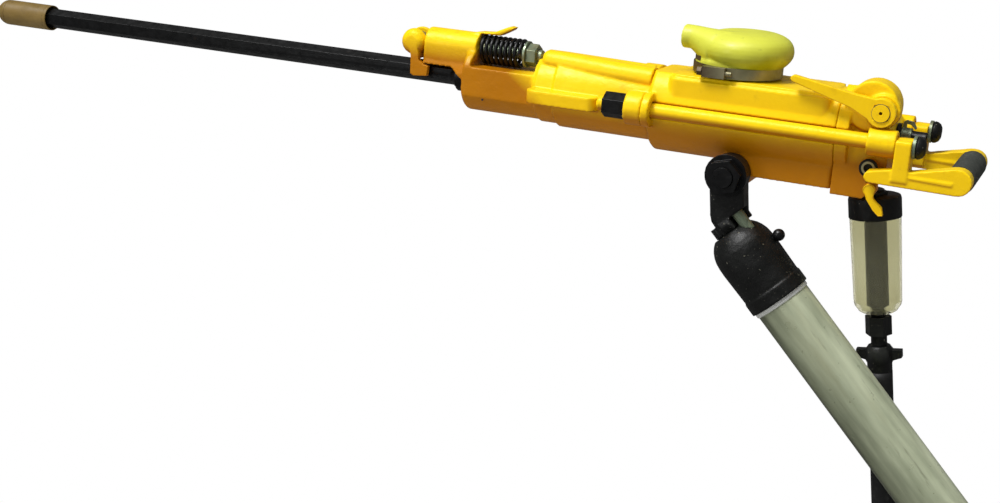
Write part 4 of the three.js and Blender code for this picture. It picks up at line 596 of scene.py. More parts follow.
def lathe(space, axis, profile, middle=(0, 0), segments=PLAIN_ROUND):
    """A turned solid in the shared frame; the profile's points are (station, radius) in mm.

    The profile begins and ends on the axis, or ends where it began.
    """
    corners, faces, rings = [], [], []
    closed = profile[0] == profile[-1]
    for station, radius in profile[:-1] if closed else profile:
        count = 1 if radius == 0 else segments
        rings.append([len(corners) + k for k in range(count)])
        for k in range(count):
            angle = 2 * math.pi * k / segments
            a, b = middle[0] + radius * math.cos(angle), middle[1] + radius * math.sin(angle)
            corners.append(mm(space, *placed_on(axis, station, a, b)))
    pairs = list(zip(rings, rings[1:])) + ([(rings[-1], rings[0])] if closed else [])
    for low, high in pairs:
        if len(low) > 1 or len(high) > 1:
            faces += band(low, high)
    return mesh_of(corners, faces)


def plain_rod(low, high, radius):
    """The profile of a plain round piece."""
    return [(low, 0), (low, radius), (high, radius), (high, 0)]


def plain_ring(low, high, bore, radius):
    """The profile of a plain ring or tube."""
    return [(low, bore), (low, radius), (high, radius), (high, bore), (low, bore)]


def prism(space, axis, outline, low, high):
    """A straight slab in the shared frame over an outline in mm."""
    corners = []
    for level in (low, high):
        for a, b in outline:
            corners.append(mm(space, *placed_on(axis, level, a, b)))
    count = len(outline)
    sides = [(k, (k + 1) % count, count + (k + 1) % count, count + k) for k in range(count)]
    return mesh_of(corners, [tuple(range(count)), tuple(range(count, 2 * count)), *sides])


def box(x0, x1, y0, y1, z0, z1):
    """A box along the drill's own axes, in mm."""
    return prism(DRILL, "z", [(x0, y0), (x1, y0), (x1, y1), (x0, y1)], z0, z1)


def rounded_box(x0, x1, y0, y1, radius):
    """The outline of a rectangle with rounded corners."""
    steps = 4
    outline = []
    for cx, cy, start in ((x1, y1, 0), (x0, y1, 90), (x0, y0, 180), (x1, y0, 270)):
        inner_x = cx + (radius if cx == x0 else -radius)
        inner_y = cy + (radius if cy == y0 else -radius)
        for k in range(steps + 1):
            angle = math.radians(start + 90 * k / steps)
            outline.append((inner_x + radius * math.cos(angle), inner_y + radius * math.sin(angle)))
    return outline


def joined(*meshes):
    """Several closed shells as one mesh."""
    build = bmesh.new()
    for mesh in meshes:
        build.from_mesh(mesh)
    whole = bpy.data.meshes.new("joined")
    build.to_mesh(whole)
    build.free()
    return whole


def sweep_rings(build, path, radius, sides, up, swell):
    """Rings of corners round a path, with no twist from one to the next."""
    rings = []
    side = None
    for i, place in enumerate(path):
        ahead = (path[min(i + 1, len(path) - 1)] - path[max(i - 1, 0)]).normalized()
        if side is None:
            side = ahead.cross(up if abs(ahead.dot(up)) < 0.9 else Vector((1, 0, 0))).normalized()
        side = (side - ahead * side.dot(ahead)).normalized()
        other = ahead.cross(side)
        reach = radius * (swell(i / (len(path) - 1)) if swell else 1)
        ring = []
        for k in range(sides):
            angle = 2 * math.pi * k / sides
            ring.append(build.verts.new(place + (side * math.cos(angle) + other * math.sin(angle)) * reach))
        rings.append(ring)
    return rings


def sweep(path, radius, sides, up=Vector((0, 0, 1)), swell=None):
    """A closed tube along a path in metres; its UV runs round it and along it, in metres.

    The swell gives the radius as a multiple, from the share of the path's points that lie behind.
    """
    mesh = bpy.data.meshes.new("sweep")
    build = bmesh.new()
    layer = build.loops.layers.uv.new("UVMap")
    rings = sweep_rings(build, path, radius, sides, up, swell)
    lengths = [0.0]
    for before, place in zip(path, path[1:]):
        lengths.append(lengths[-1] + (place - before).length)
    for i in range(len(rings) - 1):
        for k, corners in enumerate(band(rings[i], rings[i + 1])):
            face = build.faces.new(corners)
            face.smooth = True
            around = (k, k + 1, k + 1, k)
            along = (lengths[i], lengths[i], lengths[i + 1], lengths[i + 1])
            for loop, turn, run in zip(face.loops, around, along):
                loop[layer].uv = (turn / sides * 2 * math.pi * radius, run)
    build.faces.new(rings[0][::-1])
    build.faces.new(rings[-1])
    bmesh.ops.recalc_face_normals(build, faces=build.faces)
    build.to_mesh(mesh)
    build.free()
    return mesh


def cut_away(obj, tools):
    """Takes closed meshes out of the object, one after the other."""
    for mesh in tools:
        tool = new_object("tool", mesh)
        cut = obj.modifiers.new("cut", "BOOLEAN")
        cut.operation = "DIFFERENCE"
        cut.solver = "EXACT"
        cut.object = tool
        baked(obj)
        bpy.data.objects.remove(tool)


def trimmed(mesh, *tools):
    """The mesh with other closed meshes taken out of it."""
    obj = new_object("trimmed", mesh)
    cut_away(obj, tools)
    result = obj.data
    bpy.data.objects.remove(obj)
    return result


def cast(node, voxel, extras=(), cuts=(), whole=False, slim=0, rounding=4, material=None):
    """A casting in place of its node: one soft skin over the node's shape and finer shells.

    With whole, the shells alone are the shape. Slim is how much thinner the skin gets, in metres.
    """
    shells = extras if whole else [nodes[node].data, *extras]
    obj = stand_in(joined(*shells), node, name=node + "_cast", material=material)
    remesh = obj.modifiers.new("skin", "REMESH")
    remesh.mode = "VOXEL"
    remesh.voxel_size = voxel
    remesh.use_smooth_shade = True
    baked(obj)
    cut_away(obj, cuts)
    if slim:
        thinner = obj.modifiers.new("slim", "DISPLACE")
        thinner.mid_level = 0
        thinner.strength = -slim
    smooth = obj.modifiers.new("rounding", "SMOOTH")
    smooth.factor = 0.5
    smooth.iterations = rounding
    baked(obj)
    for face in obj.data.polygons:
        face.use_smooth = True


def machined(node, material=None):
    """A cut piece in place of its node, with fine bevels and smooth round faces."""
    mesh = nodes[node].data.copy()
    smooth_faces(mesh)
    bevel_edges(stand_in(mesh, node, material=material), FINE_EDGE)


def turned_piece(node, mesh, edge=FINE_EDGE, crease=30, **options):
    """A finely turned piece in place of its node."""
    smooth_faces(mesh, crease)
    bevel_edges(stand_in(mesh, node, **options), edge, crease)


# Hose, in metres: the same route as the solid's, then the coil on the floor, as one line

HOSE_DIAMETER = 0.031
HOSE_SIDES = 28
HOSE_STEP = 0.012
HOSE_OUTLET = Vector((-0.11173, 0.0280, -0.25485))
HOSE_DROPS = (0.0003, 0.031, 0.150, 0.300, 0.450, 0.600, 0.750, 0.860, 0.930, 0.969)
HOSE_ROUTE = [(0, 0, -drop) for drop in HOSE_DROPS]
HOSE_ROUTE += [(0, 0.005, -1.008), (0, 0.020, -1.044), (0, 0.044, -1.075), (0, 0.075, -1.0984)]
HOSE_ROUTE += [(0, 0.111, -1.1134), (0, 0.150, -1.1184), (0, 0.166, -1.1184), (0, 0.181, -1.1184)]
COUPLING_RADIUS = 0.022
SEAT_GAP = 0.0003
COIL_RADIUS = 0.1623
COIL_TURNS = 3.5
COIL_PITCH = 0.0326
COIL_CLIMB = COIL_PITCH - 0.001
COIL_OUTER = COIL_RADIUS + COIL_PITCH * COIL_TURNS / 4
COIL_STEPS = 96
CLIMB_TURNS = 0.5
COIL_DESCENT = 0.140
DESCENT_STEPS = 24
TIE_ANGLES = (75, 200, 310)
TIE_RADIUS = 0.0016
TIE_SIDES = 12


def catmull_rom(points, most):
    """A centripetal spline through the points, sampled so that no step is longer than most, in metres."""
    places = [Vector(point) for point in points]
    ends = [places[0] * 2 - places[1], *places, places[-1] * 2 - places[-2]]
    path = [places[0]]
    for a, b, c, d in zip(ends, ends[1:], ends[2:], ends[3:]):
        knots = [0.0]
        for first, second in ((a, b), (b, c), (c, d)):
            knots.append(knots[-1] + max((second - first).length, 1e-6) ** 0.5)
        steps = max(1, math.ceil((c - b).length / most))
        for k in range(1, steps + 1):
            at = knots[1] + (knots[2] - knots[1]) * k / steps

            def between(first, second, low, high):
                return first.lerp(second, (at - knots[low]) / (knots[high] - knots[low]))

            left = between(between(a, b, 0, 1), between(b, c, 1, 2), 0, 2)
            right = between(between(b, c, 1, 2), between(c, d, 2, 3), 1, 3)
            path.append(between(left, right, 1, 2))
    return path


def smoothstep(value, low, high):
    share = min(max((value - low) / (high - low), 0), 1)
    return share * share * (3 - 2 * share)


def coil_line(start, middle):
    """The coil's line, turn by turn as in the solid: in on the floor, out on top, then down beside it."""
    layer = COIL_TURNS / 2
    line = [start]
    for i in range(round(COIL_TURNS * COIL_STEPS) + 1):
        turns = i / COIL_STEPS
        angle = 2 * math.pi * turns
        radius = COIL_OUTER - COIL_PITCH * (layer - abs(turns - layer))
        lift = COIL_CLIMB * smoothstep(turns, layer - CLIMB_TURNS / 2, layer + CLIMB_TURNS / 2)
        line.append(middle + Vector((radius * math.cos(angle), radius * math.sin(angle), lift)))
    end = line[-1]
    away = Vector((0, -1, 0))
    sink = COIL_CLIMB - COUPLING_RADIUS + HOSE_DIAMETER / 2
    for i in range(1, DESCENT_STEPS + 1):
        share = i / DESCENT_STEPS
        line.append(end + away * COIL_DESCENT * share - Vector((0, 0, sink * smoothstep(share, 0, 1))))
    line.append(line[-1] + away * HOSE_DIAMETER)
    return line


def coil_tie(coil, middle, angle):
    """A cord tied round all turns of the coil at one angle, in degrees; returns its name."""
    out = Vector((math.cos(math.radians(angle)), math.sin(math.radians(angle)), 0))
    step = math.pi / COIL_STEPS
    crossed = [place - middle for place in coil if (place - middle).to_2d().angle(out.to_2d()) < step]
    reaches = [place.to_2d().length for place in crossed]
    half = HOSE_DIAMETER / 2
    low, high = min(reaches) - half, max(reaches) + half
    top = max(place.z for place in crossed) + half + TIE_RADIUS
    outline = rounded_box(low - TIE_RADIUS, high + TIE_RADIUS, TIE_RADIUS - half, top, half)
    path = [middle + out * reach + Vector((0, 0, rise)) for reach, rise in [*outline, *outline[:2]]]
    name = "coil_tie_" + str(angle)
    mesh = sweep(path, TIE_RADIUS, TIE_SIDES, up=out.cross(Vector((0, 0, 1))))
    add_object(name, mesh, BODY_OF["air_hose_coil"], "dark_rubber")
    return name


def make_hose():
    hanging = catmull_rom([HOSE_OUTLET + Vector(step) for step in HOSE_ROUTE], HOSE_STEP)
    start = hanging[-1] + Vector((0, SEAT_GAP, 0))
    middle = start + Vector((-COIL_OUTER, HOSE_DIAMETER, 0))
    coil = coil_line(start, middle)
    line = hanging + coil[1:]
    ties = [coil_tie(coil, middle, angle) for angle in TIE_ANGLES]
    mesh = sweep(line, HOSE_DIAMETER / 2, HOSE_SIDES)
    hose = stand_in(mesh, "air_hose", "air_hose_coil", name="hose_cover")


# Spring of the rod retainer, in mm: a round wire

RETAINER_HEIGHT = 38.5
RETAINER_AXIS = (0, RETAINER_HEIGHT)
SPRING = {"front": 28, "length": 64, "radius": 16.6, "wire": 5.3, "curls": 8.5, "end_gap": 0.6, "squeeze": 6}
SPRING_STEPS = 36
SPRING_SIDES = 14


def make_spring():
    inset = SPRING["wire"] / 2 + SPRING["end_gap"]
    low, high = SPRING["front"] + inset, SPRING["front"] + SPRING["length"] - inset
    count = round(SPRING["curls"] * SPRING_STEPS)
    line = []
    for i in range(count + 1):
        angle = 2 * math.pi * i / SPRING_STEPS
        y, z = SPRING["radius"] * math.cos(angle), SPRING["radius"] * math.sin(angle)
        line.append(mm(DRILL, low + (high - low) * i / count, y, RETAINER_HEIGHT + z))
    spring = stand_in(sweep(line, SPRING["wire"] / 2000, SPRING_SIDES), "retainer_spring", name="spring_wire")
    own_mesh(spring)


make_spring()

# Pieces that keep their solid's shape, with fine bevels

MACHINED = ["drill_rod", "drill_bit", "retainer_bolt", "retainer_pin", "retainer_nut", "side_nut_left"]
MACHINED += ["side_nut_right", "water_wing_nut", "water_connector", "leg_axle_nut", "leg_axle"]
MACHINED += ["oiler_fitting", "oiler_union", "hose_coupling", "hose_end_coupling", "regulator_valve"]
MACHINED += ["grip_tube", "exhaust_spigot"]

for name in MACHINED:
    machined(name)

# The hose comes after the coupling at its end

make_hose()

# Turned pieces, each with its solid's profile in finer steps. From here on sizes are in mm, stations run
# along a piece's own axis, and points are (station, radius) where not said otherwise

TOUCH = 0.3
SLIP = 0.6
SIDES = (("left", -1), ("right", 1))


def groove(radius, start, width, depth, flank):
    """The profile of a groove round a piece of the given radius."""
    end = start + width
    return [(start, radius), (start + flank, radius - depth), (end - flank, radius - depth), (end, radius)]


CAP = {"front": -775.6, "shoulder": -755.6, "rear": -676.6, "radius": 18.5, "wall": 1.3}
CAP_TIP = {"nib": 0.2, "nib_radius": 3, "length": 1, "radius": 5.5, "inside": 9}
CAP_ROUNDNESS = 2.1
CAP_STEPS = 12
CAP_BEND = CAP["shoulder"] + 1
PARTING_GROOVE = {"start": CAP["shoulder"] + 0.6, "width": 1.6, "depth": 0.5, "flank": 0.3}
REAR_GROOVE = {"start": CAP["rear"] - 6, "width": 1.4, "depth": 0.35, "flank": 0.4}


def make_cap():
    """A blunt tip that widens in a curve up to the shoulder, then a plain sleeve with two grooves."""
    front, shoulder, rear, radius, wall = CAP.values()
    nib, nib_radius, length, blunt, inside = CAP_TIP.values()
    start = front + length
    profile = [(front, 0), (front + nib, nib_radius), (start, blunt)]
    for k in range(1, CAP_STEPS + 1):
        share = k / CAP_STEPS
        widened = (radius - blunt) * (1 - (1 - share) ** CAP_ROUNDNESS)
        profile.append((start + (shoulder - start) * share, blunt + widened))
    profile += groove(radius, **PARTING_GROOVE) + groove(radius, **REAR_GROOVE) + [(rear, radius)]
    profile += [(rear, radius - wall), (CAP_BEND, radius - wall), (front + wall, inside), (front + wall, 0)]
    turned_piece("bit_cap", lathe(DRILL, "x", profile), edge=TRIM_EDGE)


LEG_AXIS = (-48, -44)
OUTER_TUBE = {"top": 100.3, "foot": 1500, "bore": 31.5, "radius": 35}
INNER_TUBE = {"top": 155, "foot": 1597.7, "bore": 17, "radius": 20}
COLLAR_OUTSIDE = [(1476, 38), (1478, 40), (1490, 40), (1492, 38.6), (1516, 38.6), (1518, 40)]
COLLAR_OUTSIDE += [(1524, 40), (1531, 34)]


def make_leg_tubes():
    turned_piece("leg_outer_tube", lathe(LEG, "x", plain_ring(*OUTER_TUBE.values()), LEG_AXIS, LEG_ROUND))
    over_tube = OUTER_TUBE["radius"] + TOUCH
    round_rod = INNER_TUBE["radius"] + SLIP
    seat = OUTER_TUBE["foot"] + TOUCH
    top, foot = COLLAR_OUTSIDE[0][0], COLLAR_OUTSIDE[-1][0]
    inside = [(foot, round_rod), (seat, round_rod), (seat, over_tube), (top, over_tube)]
    collar = [inside[-1], *COLLAR_OUTSIDE, *inside]
    turned_piece("leg_guide_collar", lathe(LEG, "x", collar, LEG_AXIS, FINE_ROUND))
    turned_piece("leg_inner_tube", lathe(LEG, "x", plain_ring(*INNER_TUBE.values()), LEG_AXIS, FINE_ROUND))


BOLT_OFFSET = 60
BOLT = {"front": 216, "rear": 607.9, "radius": 9, "tip_radius": 6.4, "tip_length": 3}
WASHER = {"front": 600.3, "rear": 604, "bore": 9.3, "radius": 13.5}
DOME_OUTSIDE = [(604.2, 12), (606, 13.2), (609, 12.6), (612.2, 10.6), (614.2, 7), (614.3, 0)]
DOME_FLOOR = 608.6


def on_bolt(profile, side, segments=SMALL_ROUND):
    """A turned solid round the axis of one side bolt."""
    return lathe(DRILL, "x", profile, (BOLT_OFFSET * side, 0), segments)


def make_bolts():
    front, rear, radius, tip_radius, tip_length = BOLT.values()
    shaft = [(front, 0), (front, tip_radius), (front + tip_length, radius), (rear, radius), (rear, 0)]
    edge, bore = DOME_OUTSIDE[0][0], WASHER["bore"]
    dome = [*DOME_OUTSIDE, (DOME_FLOOR, 0), (DOME_FLOOR, bore), (edge, bore)]
    plated = SLOT_MATERIALS["plated_steel"]
    washer = plain_ring(*WASHER.values())
    for name, side in SIDES:
        nut = "rear_nut_" + name
        turned_piece("side_bolt_" + name, on_bolt(shaft, side))
        turned_piece(nut, on_bolt(washer, side), name="rear_washer_" + name, material=plated)
        turned_piece(nut, on_bolt([dome[-1], *dome], side), name="rear_dome_" + name)


OILER_CAP = [(-36, 0), (-36, 32), (-13, 32), (-9.5, 31), (-8, 27), (-8, 0)]
OILER_CORE = [(-160.3, 0), (-160.3, 9), (-150, 9), (-149, 13.5), (-36, 13.5), (-36, 0)]
BOTTLE_OUTSIDE = [(-155.3, 9.3), (-155.3, 20), (-153, 23.5), (-146, 28.2), (-142, 29.1), (-36.3, 31)]
BOTTLE_INSIDE = [(-36.3, 28.5), (-142, 26.6), (-151, 21), (-151, 9.3), (-155.3, 9.3)]


def make_oiler():
    cap = joined(lathe(OILER, "z", OILER_CAP), lathe(OILER, "z", OILER_CORE, segments=40))
    turned_piece("oiler_cap", cap, edge=0.0008)
    bottle = lathe(OILER, "z", BOTTLE_OUTSIDE + BOTTLE_INSIDE, segments=FINE_ROUND)
    turned_piece("oiler_bottle", bottle, edge=0.0006)


GRIP_AXIS = (656, -31)
GRIP_SLEEVE = {"half": 54.7, "bore": 11.3, "end_radius": 16, "end": 2}
GRIP_RIBS = 26
RIB_PROFILE = ((0.15, 16.5), (0.7, 16.5), (0.78, 15.9), (0.95, 15.9))


def make_grip():
    """The ribbed sleeve; each rib's profile is (share of its width, radius)."""
    half, bore, end_radius, end = GRIP_SLEEVE.values()
    profile = [(-half, bore), (-half, end_radius)]
    width = (2 * half - 2 * end) / GRIP_RIBS
    for k in range(GRIP_RIBS):
        profile += [(-half + end + width * (k + share), radius) for share, radius in RIB_PROFILE]
    profile += [(half, end_radius), (half, bore), (-half, bore)]
    mesh = lathe(DRILL, "y", profile, GRIP_AXIS, segments=64)
    turned_piece("grip_sleeve", mesh, edge=TRIM_EDGE, crease=60)


make_cap()
make_leg_tubes()
make_bolts()
make_oiler()
make_grip()

# Castings: fine round shells over the solids, under one soft skin. Rings are (front, rear, radius, bore),
# and voxels and bevels are in metres

WIDE = 120
CAST_VOXEL = 0.0014
ARM_VOXEL = 0.0011


def barrel(low, high, radius, inner, middle=(0, 0), axis="x", edge=0):
    """A fine ring round an axis, its front rim rounded by the edge."""
    rim = [(low, radius - edge), (low + edge, radius)] if edge else [(low, radius)]
    profile = [(low, inner), *rim, (high, radius), (high, inner), (low, inner)]
    return lathe(DRILL, axis, profile, middle, FINEST_ROUND)


def side_lugs(low, high, radius, bore, edge=0):
    """A ring round each side bolt."""
    return [barrel(low, high, radius, bore, (BOLT_OFFSET * side, 0), edge=edge) for _, side in SIDES]


NOSE_BORE = 36
NOSE_END = 277
NOSE_RADII = (42.4, 44.5, 47.7)
NOSE_FRONT_RING = (18, 29, NOSE_RADII[0], 30)
NOSE_BELLY = (27, 121, NOSE_RADII[0], NOSE_BORE)
NOSE_SPANS = ((118, 124), (123, 150), (149, 256))
NOSE_REAR = (254, NOSE_END, NOSE_RADII[-1], NOSE_BORE)
NOSE_LUGS = (255, NOSE_END, 21, 11)
NOSE_TOP = 38
NOSE_SIDE = 38
SIDE_FLATS_REAR = 119
SPRING_BED = 18.6
RETAINER_BOSS = (-47, 28, 20.5, 10)
AIR_TUBE_FRONT, AIR_TUBE_REAR = 9.6, 15.6
AIR_TUBE = [(125, -18, 38), (128, -18, 38), (132, -18.2, 38), (160, -20, 37), (200, -23, 35)]
AIR_TUBE += [(240, -25, 33), (276, -26, 32)]


def nose_shells():
    """Rings and lugs with finer steps than the solid's, and the air tube on top, which widens to the rear."""
    flats = [box(0, SIDE_FLATS_REAR, NOSE_SIDE * side, WIDE * side, -WIDE, WIDE) for _, side in SIDES]
    front = trimmed(barrel(*NOSE_FRONT_RING, edge=2.5), *flats)
    spring_bed = box(-WIDE, 2 * WIDE, -WIDE, WIDE, SPRING_BED, WIDE)
    belly = trimmed(barrel(*NOSE_BELLY), *flats, spring_bed)
    top_flat = box(-WIDE, 3 * WIDE, -WIDE, WIDE, NOSE_TOP, WIDE)
    steps = zip(NOSE_SPANS, NOSE_RADII)
    rings = [trimmed(barrel(*span, radius, NOSE_BORE), top_flat) for span, radius in steps]
    rear = barrel(*NOSE_REAR)
    boss = barrel(*RETAINER_BOSS, RETAINER_AXIS, edge=1.5)
    line = [mm(DRILL, *place) for place in AIR_TUBE]
    gain = AIR_TUBE_REAR / AIR_TUBE_FRONT - 1
    tube = sweep(line, AIR_TUBE_FRONT / 1000, SMALL_ROUND, swell=lambda share: 1 + gain * share**0.5)
    return [front, belly, *rings, rear, boss, tube, *side_lugs(*NOSE_LUGS, edge=2)]


CYLINDER = (NOSE_END + TOUCH, 509, 58, 50)
BOLT_GROOVE = plain_rod(200, 600, 10.2)
CYLINDER_TOP = 45
CYLINDER_LUGS = (277.2, 287.3, 21.2, 11)
CHEST = ((301.3, 499.3, -54.9, 54.9, 9), (11, 42))
LID = ((304.3, 496.3, -51.9, 51.9, 8), (41, 46.6))


def cylinder_shells():
    """The chest and its lid are (front, rear, near, far, corner radius) and (bottom, top)."""
    grooves = [on_bolt(BOLT_GROOVE, side, segments=60) for _, side in SIDES]
    above = box(0, 5 * WIDE, -WIDE, WIDE, CYLINDER_TOP, WIDE)
    boxes = [prism(DRILL, "z", rounded_box(*across), *heights) for across, heights in (CHEST, LID)]
    return [trimmed(barrel(*CYLINDER, edge=4), above, *grooves), *boxes, *side_lugs(*CYLINDER_LUGS)]


HOUSING_AXIS = (546.5, 38)
THROTTLE_AXIS = (560, 34.6)
HOUSING_RADIUS = 30
HOUSING = (-50, 13.5, HOUSING_RADIUS, 0.1)
HOUSING_FAR = -6
THROTTLE_HUB = (-54.7, -40, 20, 0.1)
HEAD_LUGS = (549, 581.7, 16.4, 9.8)
CHAMFER_RADIUS = 19
CHAMFER_WIDTH = 10
HEAD_FRONT = 505
HEAD_TOP = 30.2
HEAD_FAR = 40
HEAD_SLOPE = [(561.2, HEAD_TOP), (571.2, 12.2)]
THROTTLE_BORE = plain_rod(-70, -18, 14.6)
BORE_FILLER = plain_rod(-20, 13, 16.5)
VALVE_END = (HEAD_FRONT, 615, -19, 60, 0, WIDE)


def back_head_cuts():
    """The throttle's bore, and the housing's far end with its chamfer above the back head's top."""
    bore = lathe(DRILL, "y", THROTTLE_BORE, THROTTLE_AXIS)
    rear = 6 * WIDE
    low = HEAD_SLOPE[-1][1]
    over_slope = [(HEAD_FRONT, HEAD_TOP), *HEAD_SLOPE, (rear, low), (rear, WIDE), (HEAD_FRONT, WIDE)]
    beyond = prism(DRILL, "y", over_slope, HOUSING_FAR, HEAD_FAR)
    wide, end = 2 * HOUSING_RADIUS, HOUSING_FAR + 1
    start = end - CHAMFER_WIDTH
    corner = (start, HOUSING_RADIUS)
    cone = [corner, (start, wide), (end, wide), (end, CHAMFER_RADIUS), corner]
    chamfer = lathe(DRILL, "y", cone, HOUSING_AXIS, FINE_ROUND)
    under_slope = [(0, HEAD_TOP), *HEAD_SLOPE, (rear, low), (rear, -WIDE), (0, -WIDE)]
    return [bore, beyond, trimmed(chamfer, prism(DRILL, "y", under_slope, -WIDE, WIDE))]


def back_head_shells():
    """The throttle's housing with its hub, filled again where the bore is cut, and the lugs of the bolts."""
    housing = barrel(*HOUSING, HOUSING_AXIS, "y", edge=1.5)
    hub = barrel(*THROTTLE_HUB, THROTTLE_AXIS, "y", edge=1)
    filler = lathe(DRILL, "y", BORE_FILLER, THROTTLE_AXIS, SMALL_ROUND)
    return [housing, hub, filler, *side_lugs(*HEAD_LUGS, edge=2)]


ARM_SWELL = [(604, -45.5), (656, -46.4), (656, -15.6), (650, -16), (604, -26.5)]
ARM_RIDGE = [(602, -34.5), (650, -36), (650, -32), (602, -32)]
ARM_SIDES = (("left", -75, -55), ("right", 55, 75))
RIDGE_RISE = 0.9


def make_castings():
    """The drill's castings; the arms' outlines are (x, z)."""
    cast("nose_housing", CAST_VOXEL, nose_shells(), material=LOW_SHADED_YELLOW)
    cast("cylinder", CAST_VOXEL, cylinder_shells(), material=LOW_SHADED_YELLOW)
    cast("back_head", CAST_VOXEL, back_head_shells(), back_head_cuts(), material=LOW_SHADED_YELLOW)
    turned_piece("throttle_valve", trimmed(nodes["throttle_valve"].data.copy(), box(*VALVE_END)))
    for name, near, far in ARM_SIDES:
        ridge = prism(DRILL, "y", ARM_RIDGE, near - RIDGE_RISE, far + RIDGE_RISE)
        cast("handle_arm_" + name, ARM_VOXEL, [prism(DRILL, "y", ARM_SWELL, near, far), ridge], rounding=3)
    cast("leg_foot", ARM_VOXEL)
    cast("throttle_lever", voxel=0.0007)
    cast("trigger", voxel=0.0006, slim=0.0018)
    cast("retainer_fork", voxel=0.0008, rounding=9, material=LOW_SHADED_YELLOW)


LEG_HEAD = [(58, 0), (58, 24), (62, 28.6), (67, 32.6), (73, 35.8), (80, 38), (88, 39), (98, 39.3)]
LEG_HEAD += [(141, 38.2), (142, 39.5), (158, 39.5), (158, 35.6), (100, 35.6), (100, 0)]
STUD_AXIS = (-58, -20)
STUD_HOLE = plain_rod(50, 78.4, 7.9)
KNOB_AXIS = (95, -48)
KNOB_HOLE = plain_rod(-12.6, 20, 4)
KNOB_STEM = [(-12.2, 0), (-12.2, 3.6), (-4.4, 3.6), (-4.4, 4.2)]
KNOB_BALL = {"middle": 2, "radius": 7.5, "neck_angle": 35, "steps": 14}
YOKE_RIM = plain_ring(30, 70, 20, 60)
YOKE_ARM = [(-10, 40), (80, -10), (80, -46), (42, -46), (27, -46), (-13, -17)]
YOKE_ARM_SIDES = (-69, -42)
TUBE_RING = [(158.3, 35.1), (158.3, 36.6), (162.6, 36.6), (163.4, 36), (163.4, 35.1), (158.3, 35.1)]


def make_vent_knob():
    middle, radius, neck_angle, steps = KNOB_BALL.values()
    profile = list(KNOB_STEM)
    for k in range(1, steps):
        angle = math.radians(neck_angle + (180 - neck_angle) * k / steps)
        profile.append((middle - radius * math.cos(angle), radius * math.sin(angle)))
    profile.append((middle + radius, 0))
    turned_piece("leg_vent_knob", lathe(LEG, "z", profile, KNOB_AXIS, SMALL_ROUND), edge=TRIM_EDGE)


def make_leg_castings():
    """The head on the leg's tube with its rounded shoulder and lower ring, and the yoke above it.

    The yoke's arm is an outline in (x, z); its flange is cut round outside the arm.
    """
    stud_hole = lathe(LEG, "x", STUD_HOLE, STUD_AXIS, SMALL_ROUND)
    holes = [stud_hole, lathe(LEG, "z", KNOB_HOLE, KNOB_AXIS, segments=32)]
    cast("leg_head", ARM_VOXEL, [lathe(LEG, "x", LEG_HEAD, LEG_AXIS, LEG_ROUND)], holes, whole=True)
    rim = lathe(LEG, "x", YOKE_RIM, LEG_AXIS, FINE_ROUND)
    cast("leg_yoke", ARM_VOXEL, cuts=[trimmed(rim, prism(LEG, "y", YOKE_ARM, *YOKE_ARM_SIDES))])
    ring = lathe(LEG, "x", TUBE_RING, LEG_AXIS, LEG_ROUND)
    smooth_faces(ring)
    add_object("leg_tube_ring", ring, BODY_OF["leg_outer_tube"], "machined_steel", BRIGHT)
    make_vent_knob()


make_castings()
make_leg_castings()

# Muffler: a snail, a smooth dome that the spout runs into from the front

MUFFLER_AXIS = (372, 0)
DOME = {"middle": 381, "oval": 0.92, "skirt": 61.3, "height": 41, "bulge": 61}
DOME_FOOT = [(-2, 0), (-2, 46), (3, 53)]
DOME_SHARES = [(0.2, 0.945), (0.32, 0.99), (0.46, 1), (0.58, 0.985), (0.7, 0.945), (0.8, 0.88)]
DOME_SHARES += [(0.89, 0.77), (0.95, 0.63), (0.99, 0.4), (1, 0)]
NECK = [(47.9, 0), (47.9, 52.8), (66, 52.8), (69, 50), (69, 0)]
SPOUT_RADIUS = 14.5
SPOUT = [(305, -14, 89, 1), (318, -15, 88.8, 1), (332, -19, 85, 1.25), (348, -24, 80, 1.58)]
SPOUT += [(366, -26, 78, 1.66), (382, -22, 78, 1.55)]
THROAT = plain_rod(40, 64.6, 49.3)
MOUTH_AXIS = (-14, 89)
MOUTH = plain_rod(300, 345, 11.6)


def spout_swell(share):
    """The spout's radius as a multiple, from its points, which are (x, y, z, multiple)."""
    place = share * (len(SPOUT) - 1)
    low = min(int(place), len(SPOUT) - 2)
    before, after = SPOUT[low][3], SPOUT[low + 1][3]
    return before + (after - before) * (place - low)


def make_muffler():
    """The dome's foot is measured from its skirt, and the rest is in shares of its height and bulge."""
    skirt, height, bulge = DOME["skirt"], DOME["height"], DOME["bulge"]
    middle = Matrix.Translation((DOME["middle"] / 1000, 0, 0))
    oval = DRILL @ middle @ Matrix.Diagonal((DOME["oval"], 1, 1, 1))
    dome = [(skirt + rise, radius) for rise, radius in DOME_FOOT]
    dome += [(skirt + share * height, bulge * reach) for share, reach in DOME_SHARES]
    neck = lathe(DRILL, "z", NECK, MUFFLER_AXIS, FINEST_ROUND)
    line = [mm(DRILL, *point[:3]) for point in SPOUT]
    pipe = sweep(line, SPOUT_RADIUS / 1000, SMALL_ROUND, swell=spout_swell)
    shells = [lathe(oval, "z", dome, segments=FINEST_ROUND), neck, pipe]
    throat = lathe(DRILL, "z", THROAT, MUFFLER_AXIS, FINE_ROUND)
    mouth = lathe(DRILL, "x", MOUTH, MOUTH_AXIS, segments=60)
    cast("muffler", voxel=0.0012, extras=shells, cuts=[throat, mouth], whole=True, rounding=10)


make_muffler()
machined("muffler_clamp", material=AGED)
machined("clamp_screw", material=AGED)
machined("retainer_washer")
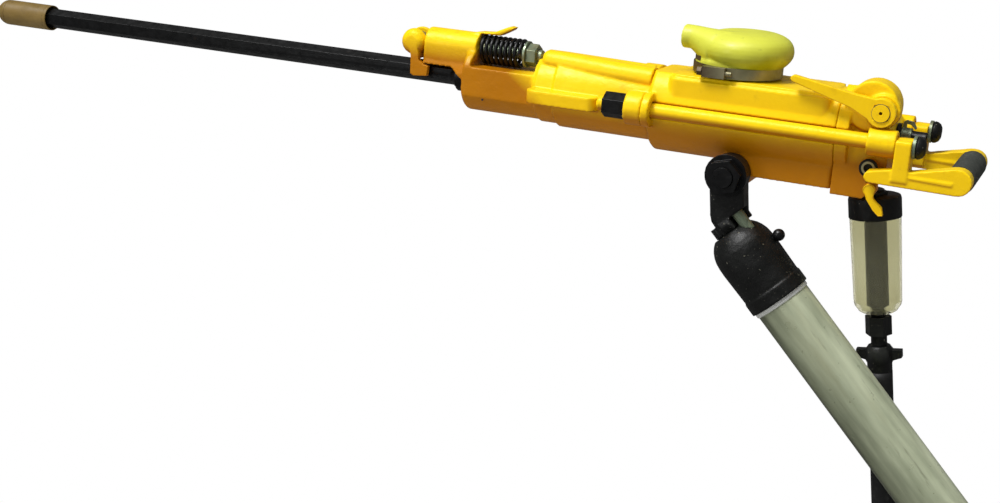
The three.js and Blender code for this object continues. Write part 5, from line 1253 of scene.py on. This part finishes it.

# Dark trim: the seal round the end of the throttle's spool, the collar under the spout, a dark disc of
# painted shade for the pin hole in the nose's side, and the face of the regulator

LEVER_SEAL = plain_ring(-67.6, -66.4, 9.7, 10.8)
SPOUT_COLLAR = plain_ring(63.8, 80, 49.5, 53)
SPOUT_COLLAR_REAR = 334
PIN_HOLE_DISC = [(-38.4, 0), (-38.4, 1.2), (-38.2, 1.4), (-37.5, 1.4), (-37.5, 0)]
PIN_HOLE_AXIS = (50, -21.6)
REGULATOR_FACE = [(-54.3, 5.4), (-54.3, 8), (-53, 8.2), (-53, 5.4), (-54.3, 5.4)]
REGULATOR_AXIS = (552, -33)


def dark_trim(name, mesh, node, material=None):
    smooth_faces(mesh)
    return add_object(name, mesh, BODY_OF[node], "dark_casting", material)


def make_trim():
    dark_trim("lever_seal", lathe(DRILL, "y", LEVER_SEAL, THROTTLE_AXIS, segments=64), "throttle_lever")
    ring = lathe(DRILL, "z", SPOUT_COLLAR, MUFFLER_AXIS, FINE_ROUND)
    collar = trimmed(ring, box(SPOUT_COLLAR_REAR, 5 * WIDE, -WIDE, WIDE, 0, WIDE))
    face = lathe(DRILL, "y", REGULATOR_FACE, REGULATOR_AXIS, SMALL_ROUND)
    # Painted shade: a dark disc on the nose's side stands for the pin hole
    pin = lathe(DRILL, "y", PIN_HOLE_DISC, PIN_HOLE_AXIS, segments=24)
    bevel_edges(dark_trim("muffler_collar", collar, "cylinder", AGED), TRIM_EDGE)
    bevel_edges(dark_trim("pin_hole_shade", pin, "cylinder"), TRIM_EDGE)
    bevel_edges(dark_trim("regulator_face", face, "regulator_valve", AGED), TRIM_EDGE)


make_trim()

# Floor


def make_floor():
    mesh = bpy.data.meshes.new("floor")
    reach = FLOOR_REACH
    corners = [(-reach, -reach), (reach, -reach), (reach, reach), (-reach, reach)]
    mesh.from_pydata([(x, y, FLOOR_LEVEL) for x, y in corners], [], [(0, 1, 2, 3)])
    obj = new_object("floor", mesh)
    s = Surface("floor", roughness=0.9)
    s.colour((0.75, 0.75, 0.75))
    shader = surroundings(s.tree, "Emission", s.shader.outputs[0])
    s.tree.links.new(shader, s.tree.nodes["Material Output"].inputs["Surface"])
    mesh.materials.append(s.material)


make_floor()
